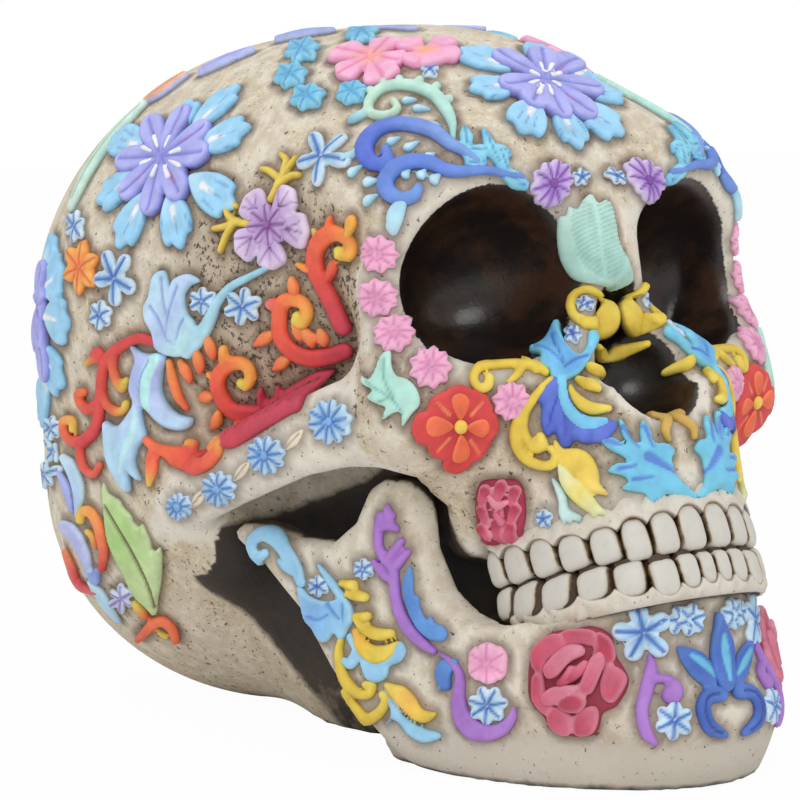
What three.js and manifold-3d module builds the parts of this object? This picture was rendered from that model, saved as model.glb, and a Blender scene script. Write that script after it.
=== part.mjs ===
// A decorated skull ornament: two resin castings, the skull and its lower jaw, with two rows of
// teeth and raised flowers, leaves and scrolls laid on the castings. Millimetres, Z up. The face
// looks along -Y, the skull's own left is +X and the origin is the middle of the footprint.
import * as THREE from "three";
import Module from "manifold-3d";

const wasm = await Module();
wasm.setup();
const { Manifold, Mesh } = wasm;

// Attitude on the table. The sculpture is measured from the line through the ears, x to the side,
// f forward and z up, and the head is then tipped back about that line.
const tipBack = THREE.MathUtils.degToRad(24.5);
const earHeight = 64;
const tipSin = Math.sin(tipBack);
const tipCos = Math.cos(tipBack);

// Fit between neighbouring pieces.
const seatGap = 0.4;
const jawGap = 1.4;
const bedGap = 0.4;
const bedSink = 2;

// Sampling of the sculpted surfaces.
const probe = 0.05;
const planeHold = 0.08;
const crossingTurns = 6;
const crossingMarginShare = 0.02;
const cellInset = 0.04;
const faceStep = 5.2;
const sideStep = 5.8;
const backStep = 9;
const jawStep = 5.4;
const hollowStep = 15;
const gridClear = 9;
const linesUnderTable = 2;
const gridReach = { side: 72, nose: 24, front: 118, cheek: 30, back: 126, brow: 112, top: 176, jawBack: 14, jawTop: 66 };

// Skull casting. Solids of the braincase.
const vault = { at: [0, -21, 39], radii: [62.5, 67, 59] };
const forehead = { at: [0, 27, 31], radii: [50, 52, 48] };
const occiput = { at: [0, -43, 6], radii: [59, 55, 52.5] };
const plinth = { at: [0, -10, -31], radii: [33, 40, 42] };
const mastoid = [
  { at: [47, -20, 2], thick: 12 },
  { at: [41, -18, -16], thick: 11 },
];

// Solids of the face.
const brow = [
  { at: [10, 73, 25], thick: 5 },
  { at: [27, 74.5, 29.5], thick: 4.5 },
  { at: [42, 67, 24], thick: 4.5 },
];
const cheekPost = [
  { at: [42, 67, 24], thick: 4.5 },
  { at: [44.5, 60, 13], thick: 5.5 },
  { at: [44, 57.5, 2], thick: 6 },
  { at: [41, 55, -11], thick: 8 },
];
const socketFloor = [
  { at: [45, 58, -4], thick: 5 },
  { at: [30, 66, -13], thick: 5 },
  { at: [12, 72, -8], thick: 5 },
];
const cheek = { at: [40, 53, -14], radii: [13, 13, 12] };
const arch = [
  { at: [45, 52, -11], thick: 5, tall: 10 },
  { at: [53, 30, -9], thick: 4, tall: 8 },
  { at: [54.5, 8, -8], thick: 4, tall: 7.5 },
  { at: [53, -12, -8], thick: 4.5, tall: 6 },
  { at: [52, -24, -8], thick: 3, tall: 4 },
];
const maxilla = { at: [0, 46, -20], radii: [36, 34, 27] };
const throat = { at: [0, 33, -44], radii: [16, 15, 15] };
const browMass = { at: [20, 57, 33], radii: [29, 23, 15] };
const noseBridge = { at: [0, 65, 12], radii: [13, 18, 20] };
const upperGum = { halfWidth: 27.6, reach: 83.3, from: 44, frontLow: -44.8, rearLow: -39.8, high: -20 };
const gumEnd = 2;
const throatReach = 3;
const gumDropShare = 9;

// Hollows of the skull casting.
const orbit = { at: [27.8, 81, 8], radii: [19.3, 31, 17.6] };
const noseTop = { at: [0, 88, -3], radii: [6.5, 20, 8.5] };
const noseFoot = { at: [0, 88, -15], radii: [12, 22, 12.5] };
const temple = { at: [65, 35, 4], radii: [15, 18, 26] };
const cheekHollow = [
  { at: [46, 42, -32], thick: 9, tall: 14 },
  { at: [44, 2, -34], thick: 9, tall: 20 },
];
const innerVault = { at: [0, -24, 38], radii: [53, 56, 48] };
const innerOcciput = { at: [0, -44, 8], radii: [48, 43, 42] };
const pourHole = { at: [0, 34], radius: 13, sides: 20, depth: 30, below: 5 };

// How softly each solid or hollow runs into the rest.
const softDome = 22;
const softNape = 12;
const softPlinth = 14;
const softLobe = 8;
const softMuzzle = 10;
const softCheek = 12;
const softTemple = 6;
const softHollow = 5;
const softBrow = 9;
const softBridge = 8;
const softNostril = 4;
const softRim = 3.5;

// Lower jaw casting: a horseshoe on the table and a flat branch rising at each side.
const jawLevel = 38;
const jawSide = { base: 37, top: 33 };
const jawFront = { base: 103, top: 99 };
const jawStart = 50;
const jawOverrun = 12;
const jawWall = 13;
const jawTop = { front: -64, rear: -59.4, from: 44, to: 82 };
const jawFoot = { lift: 3, soft: 10 };
const chin = { at: [0, -94, 14], radii: [20, 11, 11], soft: 8 };
const ramusThick = 5;
const ramusSoft = 4;
const ramusX = { rear: 45, bend: 300 };
const ramus = [
  [-6, -17], [-2, -16.5], [4, -19.5], [11, -25], [21, -29.5], [29, -27.5], [35, -22.5], [40, -21.5],
  [44, -24], [43, -31], [40.5, -38], [40.5, -47], [44, -55], [50, -61], [58, -63], [62, -70],
  [62, -80], [46, -90], [31, -84], [20, -77], [14, -66], [10, -54], [7, -40], [0, -27], [-6, -20],
];

// Teeth, counted from the middle of the mouth to the last one.
const dentalArch = { halfWidth: 27.3, reach: 83.7, from: 44 };
const archPower = 2.5;
const jawPower = 2;
const bite = { front: -54.6, rear: -49 };
const upperTeeth = [
  { wide: 6.8, tall: 9 }, { wide: 6.3, tall: 8.8 }, { wide: 6.2, tall: 9.1 }, { wide: 6.7, tall: 8.5 },
  { wide: 7.1, tall: 8.2 }, { wide: 7.2, tall: 8.2 }, { wide: 7.4, tall: 8.2 }, { wide: 5, tall: 8 },
];
const lowerTeeth = [
  { wide: 4.2, tall: 8.4 }, { wide: 5, tall: 8.4 }, { wide: 6.5, tall: 8.6 }, { wide: 7.2, tall: 8.6 },
  { wide: 8, tall: 9 }, { wide: 8.5, tall: 9 }, { wide: 7.8, tall: 9.2 }, { wide: 5.2, tall: 8.8 },
];
const toothDepth = 5.4;
const biteGap = 0.25;
const rowStations = [
  { place: 0, pulledIn: 1.7, lowShare: 0.1, highShare: 0.66 },
  { place: 0.14, pulledIn: 0.45, lowShare: 0.02, highShare: 0.84 },
  { place: 0.5, pulledIn: 0, lowShare: 0, highShare: 1 },
  { place: 0.86, pulledIn: 0.45, lowShare: 0.02, highShare: 0.84 },
];
const crownProfile = [
  { levelShare: 0, pulledIn: 0.7 },
  { levelShare: 0.35, pulledIn: 0 },
  { levelShare: 0.78, pulledIn: 0.3 },
  { levelShare: 1, pulledIn: 1.1 },
];

// Named centres that the ornaments are placed around, on the table's axes.
const brainCentre = [0, 20, 95];
const faceCentre = [0, -30, 68];
const jawCentre = [0, -45, 20];
const farAway = 150;
const shortHop = 0.5;
const touch = 0.02;
const archSample = 0.002;

// Colours of the paint.
const bone = 0xd2c6b0;
const ivory = 0xd8cfba;
const lilac = 0x9a94dc;
const sky = 0x86c3ea;
const cyan = 0x5fb6dc;
const ink = 0x3f62b8;
const mint = 0xa9d6c4;
const mauve = 0xa874b4;
const violet = 0x9a6cc4;
const pink = 0xe79ac0;
const scarlet = 0xd0383a;
const coral = 0xd9533a;
const leafGreen = 0xa0c96e;
const roseRed = 0xd0425f;

// Relief heights.
const reliefHigh = 2.2;
const reliefLow = 1.5;
const rimShare = 0.55;
const ridgeShare = 0.45;
const shoulderShare = 0.26;
const coreShare = 0.08;
const innerShare = 0.5;
const wideFlower = 9;

// Surface finishes.
const stoneRough = 0.62;
const toothRough = 0.4;
const paintRough = 0.5;

const mix = (a, b, t) => a + (b - a) * t;
const clamp01 = (t) => Math.min(1, Math.max(0, t));
const half = (v) => v / 2;
const toSkull = ([x, y, z]) => [
  x,
  (z - earHeight) * tipSin - y * tipCos,
  y * tipSin + (z - earHeight) * tipCos,
];
const toTable = ([x, f, z]) => [x, z * tipSin - f * tipCos, f * tipSin + z * tipCos + earHeight];
const mirrored = ([x, f, z]) => [Math.abs(x), f, z];

// Distance shapes, negative inside.
function ball(p, { at, radii }) {
  const d = p.map((v, i) => v - at[i]);
  const reach = Math.hypot(...d.map((v, i) => v / radii[i]));
  const slope = Math.hypot(...d.map((v, i) => v / radii[i] ** 2));
  return slope > 0 ? (reach * (reach - 1)) / slope : -Math.min(...radii);
}

function bar(p, from, to) {
  const d = from.at.map((v, i) => to.at[i] - v);
  const w = p.map((v, i) => v - from.at[i]);
  const t = clamp01((w[0] * d[0] + w[1] * d[1] + w[2] * d[2]) / (d[0] ** 2 + d[1] ** 2 + d[2] ** 2));
  const thick = mix(from.thick, to.thick, t);
  const tall = mix(from.tall ?? from.thick, to.tall ?? to.thick, t);
  const q = w.map((v, i) => v - d[i] * t);
  return Math.hypot(q[0], q[1], (q[2] * thick) / tall) - thick;
}

function chain(p, stations) {
  let d = Infinity;
  for (let i = 1; i < stations.length; i++) d = Math.min(d, bar(p, stations[i - 1], stations[i]));
  return d;
}

function join(a, b, soft) {
  const h = clamp01(half(1 + (b - a) / soft));
  return mix(b, a, h) - soft * h * (1 - h);
}

const carve = (a, b, soft) => -join(-a, b, soft);
const overlap = (a, b, soft) => -join(-a, -b, soft);

// Distance to the outer wall of a half ellipse that opens to the rear.
function horseshoeWall(across, along, halfWidth, reach, power) {
  const v = [Math.abs(across) / halfWidth, Math.max(0, along) / reach];
  const k = (v[0] ** power + v[1] ** power) ** (1 / power);
  if (k === 0) return -halfWidth;
  const slope = Math.hypot((v[0] / k) ** (power - 1) / halfWidth, (v[1] / k) ** (power - 1) / reach);
  return (k - 1) / slope;
}

function polygon([u, v], outline) {
  let d = Infinity;
  let inside = false;
  for (let i = 0; i < outline.length; i++) {
    const a = outline[i];
    const b = outline[(i + 1) % outline.length];
    const e = [b[0] - a[0], b[1] - a[1]];
    const w = [u - a[0], v - a[1]];
    const t = clamp01((w[0] * e[0] + w[1] * e[1]) / (e[0] ** 2 + e[1] ** 2));
    d = Math.min(d, Math.hypot(w[0] - e[0] * t, w[1] - e[1] * t));
    if (a[1] > v !== b[1] > v && u < a[0] + ((v - a[1]) / e[1]) * e[0]) inside = !inside;
  }
  return inside ? -d : d;
}

function gumFloor(f) {
  const { from, reach, rearLow, frontLow } = upperGum;
  return mix(rearLow, frontLow, (f - from) / (reach - from));
}

function upperGumShape([x, f, z]) {
  const wall = horseshoeWall(x, f - upperGum.from, upperGum.halfWidth, upperGum.reach - upperGum.from, archPower);
  return Math.max(wall, gumFloor(f) - z, z - upperGum.high, upperGum.from - gumEnd - f);
}

function jawField(p) {
  const q = mirrored(toSkull(p));
  const t = clamp01(p[2] / jawLevel);
  const side = mix(jawSide.base, jawSide.top, t) - half(jawWall);
  const reach = mix(jawFront.base, jawFront.top, t) - jawStart - half(jawWall);
  const wall = Math.abs(horseshoeWall(q[0], -p[1] - jawStart, side, reach, jawPower)) - half(jawWall);
  const top = mix(jawTop.rear, jawTop.front, (q[1] - jawTop.from) / (jawTop.to - jawTop.from));
  const body = join(wall, ball([q[0], p[1], p[2]], chin), chin.soft);
  const trimmed = Math.max(body, q[2] - top, p[1] + jawStart - jawOverrun);
  const middle = ramusX.rear - Math.min(0, p[1]) ** 2 / ramusX.bend;
  const slab = Math.abs(q[0] - middle) - ramusThick;
  const branch = overlap(polygon([q[1], q[2]], ramus), slab, ramusSoft);
  const { halfWidth, reach: archReach, from } = dentalArch;
  const mouth = Math.max(horseshoeWall(q[0], q[1] - from, halfWidth, archReach - from, archPower) - seatGap, top - q[2]);
  const both = Math.max(join(trimmed, branch, softLobe), -mouth);
  return Math.max(overlap(both, -p[2] - jawFoot.lift, jawFoot.soft), -p[2]);
}

function skullField(p) {
  const q = mirrored(toSkull(p));
  let d = join(ball(q, vault), ball(q, forehead), softDome);
  d = join(d, ball(q, occiput), softNape);
  d = join(d, ball(q, browMass), softNape);
  d = join(d, ball(q, plinth), softPlinth);
  d = join(d, chain(q, mastoid), softLobe);
  d = join(d, ball(q, maxilla), softMuzzle);
  d = join(d, ball(q, cheek), softCheek);
  d = join(d, ball(q, throat), softLobe);
  d = join(d, upperGumShape(q), softMuzzle);
  d = carve(d, ball(q, temple), softTemple);
  d = carve(d, chain(q, cheekHollow), softHollow);
  d = join(d, chain(q, brow), softBrow);
  d = join(d, chain(q, cheekPost), softHollow);
  d = join(d, chain(q, socketFloor), softLobe);
  d = join(d, ball(q, noseBridge), softBridge);
  d = join(d, chain(q, arch), softHollow);
  d = carve(d, ball(q, orbit), softRim);
  d = carve(d, join(ball(q, noseTop), ball(q, noseFoot), softNostril), softRim);
  const behindGum = Math.max(0, upperGum.from + throatReach - q[1]) * gumDropShare;
  d = Math.max(d, gumFloor(q[1]) - q[2] - behindGum, jawGap - jawField(p));
  return Math.max(d, -p[2]);
}

function hollowField(p) {
  const q = mirrored(toSkull(p));
  return join(ball(q, innerVault), ball(q, innerOcciput), softNape);
}

// Turns a field into a closed mesh. Each cell that the surface passes through gets one vertex, where
// the tangent planes at its crossed edges meet, so that rims stay crisp.
const cubeCorners = [0, 1, 2, 3, 4, 5, 6, 7].map((c) => [c & 1, (c >> 1) & 1, c >> 2]);
const cubeEdges = cubeCorners.flatMap((_, a) => [1, 2, 4].filter((bit) => !(a & bit)).map((bit) => [a, a | bit]));

// Whether the corners of a cube that are on one side of the surface are linked along its edges.
function linked(inside, side) {
  const seen = new Set();
  const queue = inside.includes(side) ? [inside.indexOf(side)] : [];
  while (queue.length) {
    const a = queue.pop();
    if (seen.has(a)) continue;
    seen.add(a);
    queue.push(...[1, 2, 4].map((bit) => a ^ bit).filter((b) => inside[b] === side));
  }
  return inside.every((v, c) => v !== side || seen.has(c));
}

function normalOf(field, p) {
  const at = (axis, sign) => field(p.map((v, i) => (i === axis ? v + sign * probe : v)));
  return new THREE.Vector3(...[0, 1, 2].map((axis) => at(axis, 1) - at(axis, -1))).normalize();
}

// The point nearest to a set of tangent planes, held near the middle of their touching points.
function meetingPoint(planes) {
  const middle = new THREE.Vector3();
  for (const { point } of planes) middle.addScaledVector(point, 1 / planes.length);
  const m = [[planeHold, 0, 0], [0, planeHold, 0], [0, 0, planeHold]];
  const r = [0, 0, 0];
  for (const { point, normal } of planes) {
    const n = normal.toArray();
    const gap = normal.dot(point.clone().sub(middle));
    for (let i = 0; i < 3; i++) {
      r[i] += n[i] * gap;
      for (let j = 0; j < 3; j++) m[i][j] += n[i] * n[j];
    }
  }
  const matrix = new THREE.Matrix3().set(...m.flat()).invert();
  return middle.add(new THREE.Vector3(...r).applyMatrix3(matrix));
}

// Where the field crosses zero on an edge between two grid corners.
function crossing(field, a, b, valueA, valueB) {
  let [low, high, atLow, atHigh] = [a, b, valueA, valueB];
  let point = a;
  for (let turn = 0; turn < crossingTurns; turn++) {
    const t = atLow / (atLow - atHigh);
    const held = Math.min(1 - crossingMarginShare, Math.max(crossingMarginShare, t));
    point = low.map((v, i) => mix(v, high[i], held));
    const here = field(point);
    if (here < 0 === atLow < 0) [low, atLow] = [point, here];
    else [high, atHigh] = [point, here];
  }
  return point;
}

function surfaceOf(field, lines) {
  const n = lines.map((l) => l.length);
  const at = (i, j, k) => i + n[0] * (j + n[1] * k);
  const corner = (i, j, k) => [lines[0][i], lines[1][j], lines[2][k]];
  const eachCell = (first, visit) => {
    for (let k = first; k < n[2] - 1; k++) {
      for (let j = first; j < n[1] - 1; j++) {
        for (let i = first; i < n[0] - 1; i++) visit(i, j, k);
      }
    }
  };
  const value = new Float64Array(n[0] * n[1] * n[2]);
  for (let key = 0; key < value.length; key++) {
    const i = key % n[0];
    const j = Math.floor(key / n[0]) % n[1];
    value[key] = field(corner(i, j, Math.floor(key / (n[0] * n[1]))));
  }
  let patched = true;
  while (patched) {
    patched = false;
    eachCell(0, (i, j, k) => {
      const keys = cubeCorners.map(([a, b, c]) => at(i + a, j + b, k + c));
      const inside = keys.map((key) => value[key] < 0);
      if (linked(inside, true) && linked(inside, false)) return;
      const outer = keys.filter((key) => value[key] >= 0).sort((a, b) => value[a] - value[b]);
      value[outer[0]] = -Number.EPSILON;
      patched = true;
    });
  }
  const cellVertex = new Map();
  const points = [];
  const vertexOf = (i, j, k) => {
    const key = at(i, j, k);
    if (cellVertex.has(key)) return cellVertex.get(key);
    const planes = [];
    for (const edge of cubeEdges) {
      const [a, b] = edge.map((c) => cubeCorners[c].map((v, axis) => v + [i, j, k][axis]));
      const [valueA, valueB] = [value[at(...a)], value[at(...b)]];
      if (valueA < 0 === valueB < 0) continue;
      const point = crossing(field, corner(...a), corner(...b), valueA, valueB);
      planes.push({ point: new THREE.Vector3(...point), normal: normalOf(field, point) });
    }
    const low = new THREE.Vector3(...corner(i, j, k)).addScalar(cellInset);
    const high = new THREE.Vector3(...corner(i + 1, j + 1, k + 1)).subScalar(cellInset);
    points.push(meetingPoint(planes).clamp(low, high));
    cellVertex.set(key, points.length - 1);
    return points.length - 1;
  };
  const faces = [];
  const rings = [
    { step: [1, 0, 0], cells: [[0, -1, -1], [0, 0, -1], [0, 0, 0], [0, -1, 0]] },
    { step: [0, 1, 0], cells: [[-1, 0, -1], [-1, 0, 0], [0, 0, 0], [0, 0, -1]] },
    { step: [0, 0, 1], cells: [[-1, -1, 0], [0, -1, 0], [0, 0, 0], [-1, 0, 0]] },
  ];
  eachCell(1, (i, j, k) => {
    const here = value[at(i, j, k)] < 0;
    for (const { step, cells } of rings) {
      const there = value[at(i + step[0], j + step[1], k + step[2])] < 0;
      if (here === there) continue;
      const q = cells.map(([a, b, c]) => vertexOf(i + a, j + b, k + c));
      if (!here) q.reverse();
      const span = (a, b) => points[q[a]].distanceTo(points[q[b]]);
      if (span(0, 2) > span(1, 3)) q.push(q.shift());
      faces.push([q[0], q[1], q[2]], [q[0], q[2], q[3]]);
    }
  });
  return { points, faces };
}

// Grid lines between stops, each stretch with its own spacing.
function gridLines(from, ...stretches) {
  const lines = [from];
  for (const [to, step] of stretches) {
    const start = lines[lines.length - 1];
    const count = Math.max(1, Math.round((to - start) / step));
    for (let i = 1; i <= count; i++) lines.push(mix(start, to, i / count));
  }
  return lines;
}

// The space that shapes take on the table once the head is tipped back, with a clearance round them.
function reachOf(shapes) {
  const box = new THREE.Box3();
  for (const { at, radii, thick, tall = thick } of shapes) {
    const [x, f, z] = radii ?? [thick, thick, tall];
    const spread = new THREE.Vector3(x, Math.hypot(f * tipCos, z * tipSin), Math.hypot(f * tipSin, z * tipCos));
    const centre = new THREE.Vector3(...toTable(at));
    box.expandByPoint(centre.clone().add(spread));
    box.expandByPoint(centre.sub(spread));
  }
  return box.expandByScalar(gridClear);
}

// Adds lines of the same spacing at both ends until they pass a pair of limits.
function cover(lines, low, high) {
  const all = [...lines];
  while (all[0] > low) all.unshift(all[0] - (lines[1] - lines[0]));
  const lastStep = lines[lines.length - 1] - lines[lines.length - 2];
  while (all[all.length - 1] < high) all.push(all[all.length - 1] + lastStep);
  return all;
}

function solidOf({ points, faces }) {
  const mesh = new Mesh({
    numProp: 3,
    vertProperties: Float32Array.from(points.flatMap((p) => p.toArray())),
    triVerts: Uint32Array.from(faces.flat()),
  });
  mesh.merge();
  return new Manifold(mesh);
}

function geometryOf(solid) {
  const mesh = solid.getMesh();
  const positions = [];
  for (let v = 0; v < mesh.numVert; v++) positions.push(...mesh.position(v));
  const geometry = new THREE.BufferGeometry();
  geometry.setAttribute("position", new THREE.Float32BufferAttribute(positions, 3));
  geometry.setIndex(Array.from(mesh.triVerts));
  geometry.computeVertexNormals();
  return geometry;
}

// A closed skin through rings of points, all of one count, with a fan over each end.
function skin(rings) {
  const count = rings[0].length;
  const points = rings.flat();
  const faces = [];
  for (let r = 1; r < rings.length; r++) {
    for (let i = 0; i < count; i++) {
      const j = (i + 1) % count;
      const [a, b] = [(r - 1) * count, r * count];
      faces.push([a + i, a + j, b + j], [a + i, b + j, b + i]);
    }
  }
  const last = (rings.length - 1) * count;
  for (let i = 1; i < count - 1; i++) {
    faces.push([0, i + 1, i], [last, last + i, last + i + 1]);
  }
  return { points, faces };
}

// Teeth stand on a half ellipse. A walk along it gives the place and heading at each distance.
function archPoint(turn) {
  const { halfWidth, reach, from } = dentalArch;
  const x = halfWidth * Math.sin(turn) ** (2 / archPower);
  const f = from + (reach - from) * Math.max(0, Math.cos(turn)) ** (2 / archPower);
  return { x, f };
}

function archWalk(distance) {
  let gone = 0;
  let here = archPoint(0);
  for (let turn = archSample; gone < distance; turn += archSample) {
    const next = archPoint(turn);
    gone += Math.hypot(next.x - here.x, next.f - here.f);
    here = next;
  }
  return here;
}

const biteLevel = (f) => mix(bite.rear, bite.front, (f - dentalArch.from) / (dentalArch.reach - dentalArch.from));

// A row is one strip bent round the arch. Its outer face bulges at each crown and sinks between
// neighbours, so that the teeth read one by one while the row stays a single piece.
function rowSection(tooth, station, distance, side, way) {
  const here = archWalk(distance);
  const { halfWidth, reach, from } = dentalArch;
  const slopes = [here.x / halfWidth, (here.f - from) / (reach - from)].map((v) => v ** (archPower - 1));
  const out = new THREE.Vector2(slopes[0] / halfWidth, slopes[1] / (reach - from)).normalize();
  const bottom = biteLevel(here.f) + way * biteGap;
  const at = (pulledIn, share) => {
    const x = here.x - out.x * pulledIn;
    const f = here.f - out.y * pulledIn;
    return new THREE.Vector3(...toTable([side * x, f, bottom + way * share * tooth.tall]));
  };
  const span = (share) => mix(station.lowShare, station.highShare, share);
  const front = crownProfile.map(({ levelShare, pulledIn }) => at(station.pulledIn + pulledIn, span(levelShare)));
  return [...front, at(toothDepth, span(1)), at(toothDepth, span(0))];
}

function toothRow(teeth, way) {
  const halfRow = (side) => {
    const sections = [];
    let gone = 0;
    for (const tooth of teeth) {
      for (const station of rowStations) {
        sections.push(rowSection(tooth, station, gone + tooth.wide * station.place, side, way));
      }
      gone += tooth.wide;
    }
    sections.push(rowSection(teeth[teeth.length - 1], rowStations[0], gone, side, way));
    return sections;
  };
  const sections = [...halfRow(-1).reverse(), ...halfRow(1).slice(1)];
  return solidOf(skin(way < 0 ? sections : sections.map((ring) => [...ring].reverse())));
}

// Finds the surface seen from far away along a bearing from a named centre. A yaw of zero looks
// along -Y and grows toward the skull's right, and lift is the angle above the level.
function surfacePoint(field, centre, yaw, lift) {
  const [a, b] = [yaw, lift].map(THREE.MathUtils.degToRad);
  const d = [-Math.sin(a) * Math.cos(b), -Math.cos(a) * Math.cos(b), Math.sin(b)];
  let t = farAway;
  let value = Infinity;
  while (value > touch && t > 0) {
    const p = centre.map((v, i) => v + d[i] * t);
    value = field(p);
    t -= Math.max(touch, value * shortHop);
  }
  return new THREE.Vector3(...centre.map((v, i) => v + d[i] * t));
}

// Local axes on the surface: out of it, and a pair along it turned by an angle from upright.
function seat(field, { centre, yaw, lift, turn = 0 }) {
  const origin = surfacePoint(field, centre, yaw, lift);
  const out = normalOf(field, origin.toArray());
  const upright = new THREE.Vector3(0, 0, 1).addScaledVector(out, -out.z).normalize();
  const up = upright.applyAxisAngle(out, -THREE.MathUtils.degToRad(turn));
  const across = new THREE.Vector3().crossVectors(up, out);
  return { field, origin, out, up, across };
}

// Lays a point of an ornament on the surface: across and up along it, and height above it.
function lay({ field, origin, out, up, across }, u, v, height) {
  const p = origin.clone().addScaledVector(across, u).addScaledVector(up, v);
  const settleTurns = 8;
  for (let turn = 0; turn < settleTurns; turn++) p.addScaledVector(out, -field(p.toArray()));
  return p.addScaledVector(normalOf(field, p.toArray()), bedGap + height);
}

// A flower: petals around a dome, as rings of points between the underside and the top.
function flower(frame, { petals, radius, waistShare, high = reliefHigh, turned = 0 }) {
  const outline = [];
  const petalStep = (2 * Math.PI) / petals;
  for (let i = 0; i < petals; i++) {
    const angle = i * petalStep + THREE.MathUtils.degToRad(turned);
    outline.push(
      { angle: angle - half(petalStep), reach: waistShare },
      { angle: angle - petalStep * shoulderShare, reach: 1 },
      { angle: angle + petalStep * shoulderShare, reach: 1 }
    );
  }
  const ring = (share, height) =>
    outline.map(({ angle, reach }) => {
      const r = radius * share * mix(waistShare, reach, share);
      return lay(frame, r * Math.sin(angle), r * Math.cos(angle), height);
    });
  const levels = [ring(coreShare, -bedSink), ring(1, -bedSink), ring(1, high * rimShare), ring(coreShare, high)];
  if (radius > wideFlower) levels.splice(levels.length - 1, 0, ring(innerShare, high));
  return solidOf(skin(levels.map((points) => [...points].reverse())));
}

// A tendril, scroll or long leaf: a path of straight steps, each with a bend before it, whose width
// follows a list of shares.
function tendril(frame, { start = [0, 0], heading, steps, wide, widthShares, high = reliefLow }) {
  let [u, v] = start;
  let angle = THREE.MathUtils.degToRad(heading);
  const path = [{ u, v, angle }];
  for (const [length, bend] of steps) {
    const next = angle + THREE.MathUtils.degToRad(bend);
    u += length * Math.sin(next);
    v += length * Math.cos(next);
    path[path.length - 1].angle = half(angle + next);
    path.push({ u, v, angle: next });
    angle = next;
  }
  const rings = path.map((at, i) => {
    const share = (i / (path.length - 1)) * (widthShares.length - 1);
    const low = Math.floor(share);
    const w = half(wide * mix(widthShares[low], widthShares[Math.min(low + 1, widthShares.length - 1)], share - low));
    const side = [Math.cos(at.angle), -Math.sin(at.angle)];
    const point = (offset, height) => lay(frame, at.u + side[0] * offset, at.v + side[1] * offset, height);
    const ridge = [point(-w * ridgeShare, high), point(w * ridgeShare, high)];
    return [point(-w, high * rimShare), ...ridge, point(w, high * rimShare), point(w, -bedSink), point(-w, -bedSink)];
  });
  return solidOf(skin(rings));
}

const scrollShares = [0.35, 0.85, 1, 0.95, 0.85, 0.75, 0.6];
const leafShares = [0.2, 0.8, 1, 0.85, 0.5, 0.1];
const petalShares = [0.35, 0.8, 1, 1, 0.75];
const curl = (step) => [[step, 40], [step, 50], [step, 60], [step, 60]];

const blossom = { petals: 8, radius: 17, waistShare: 0.76, high: 3 };
const smallBlossom = { petals: 8, radius: 14.5, waistShare: 0.76, high: 3 };

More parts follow.
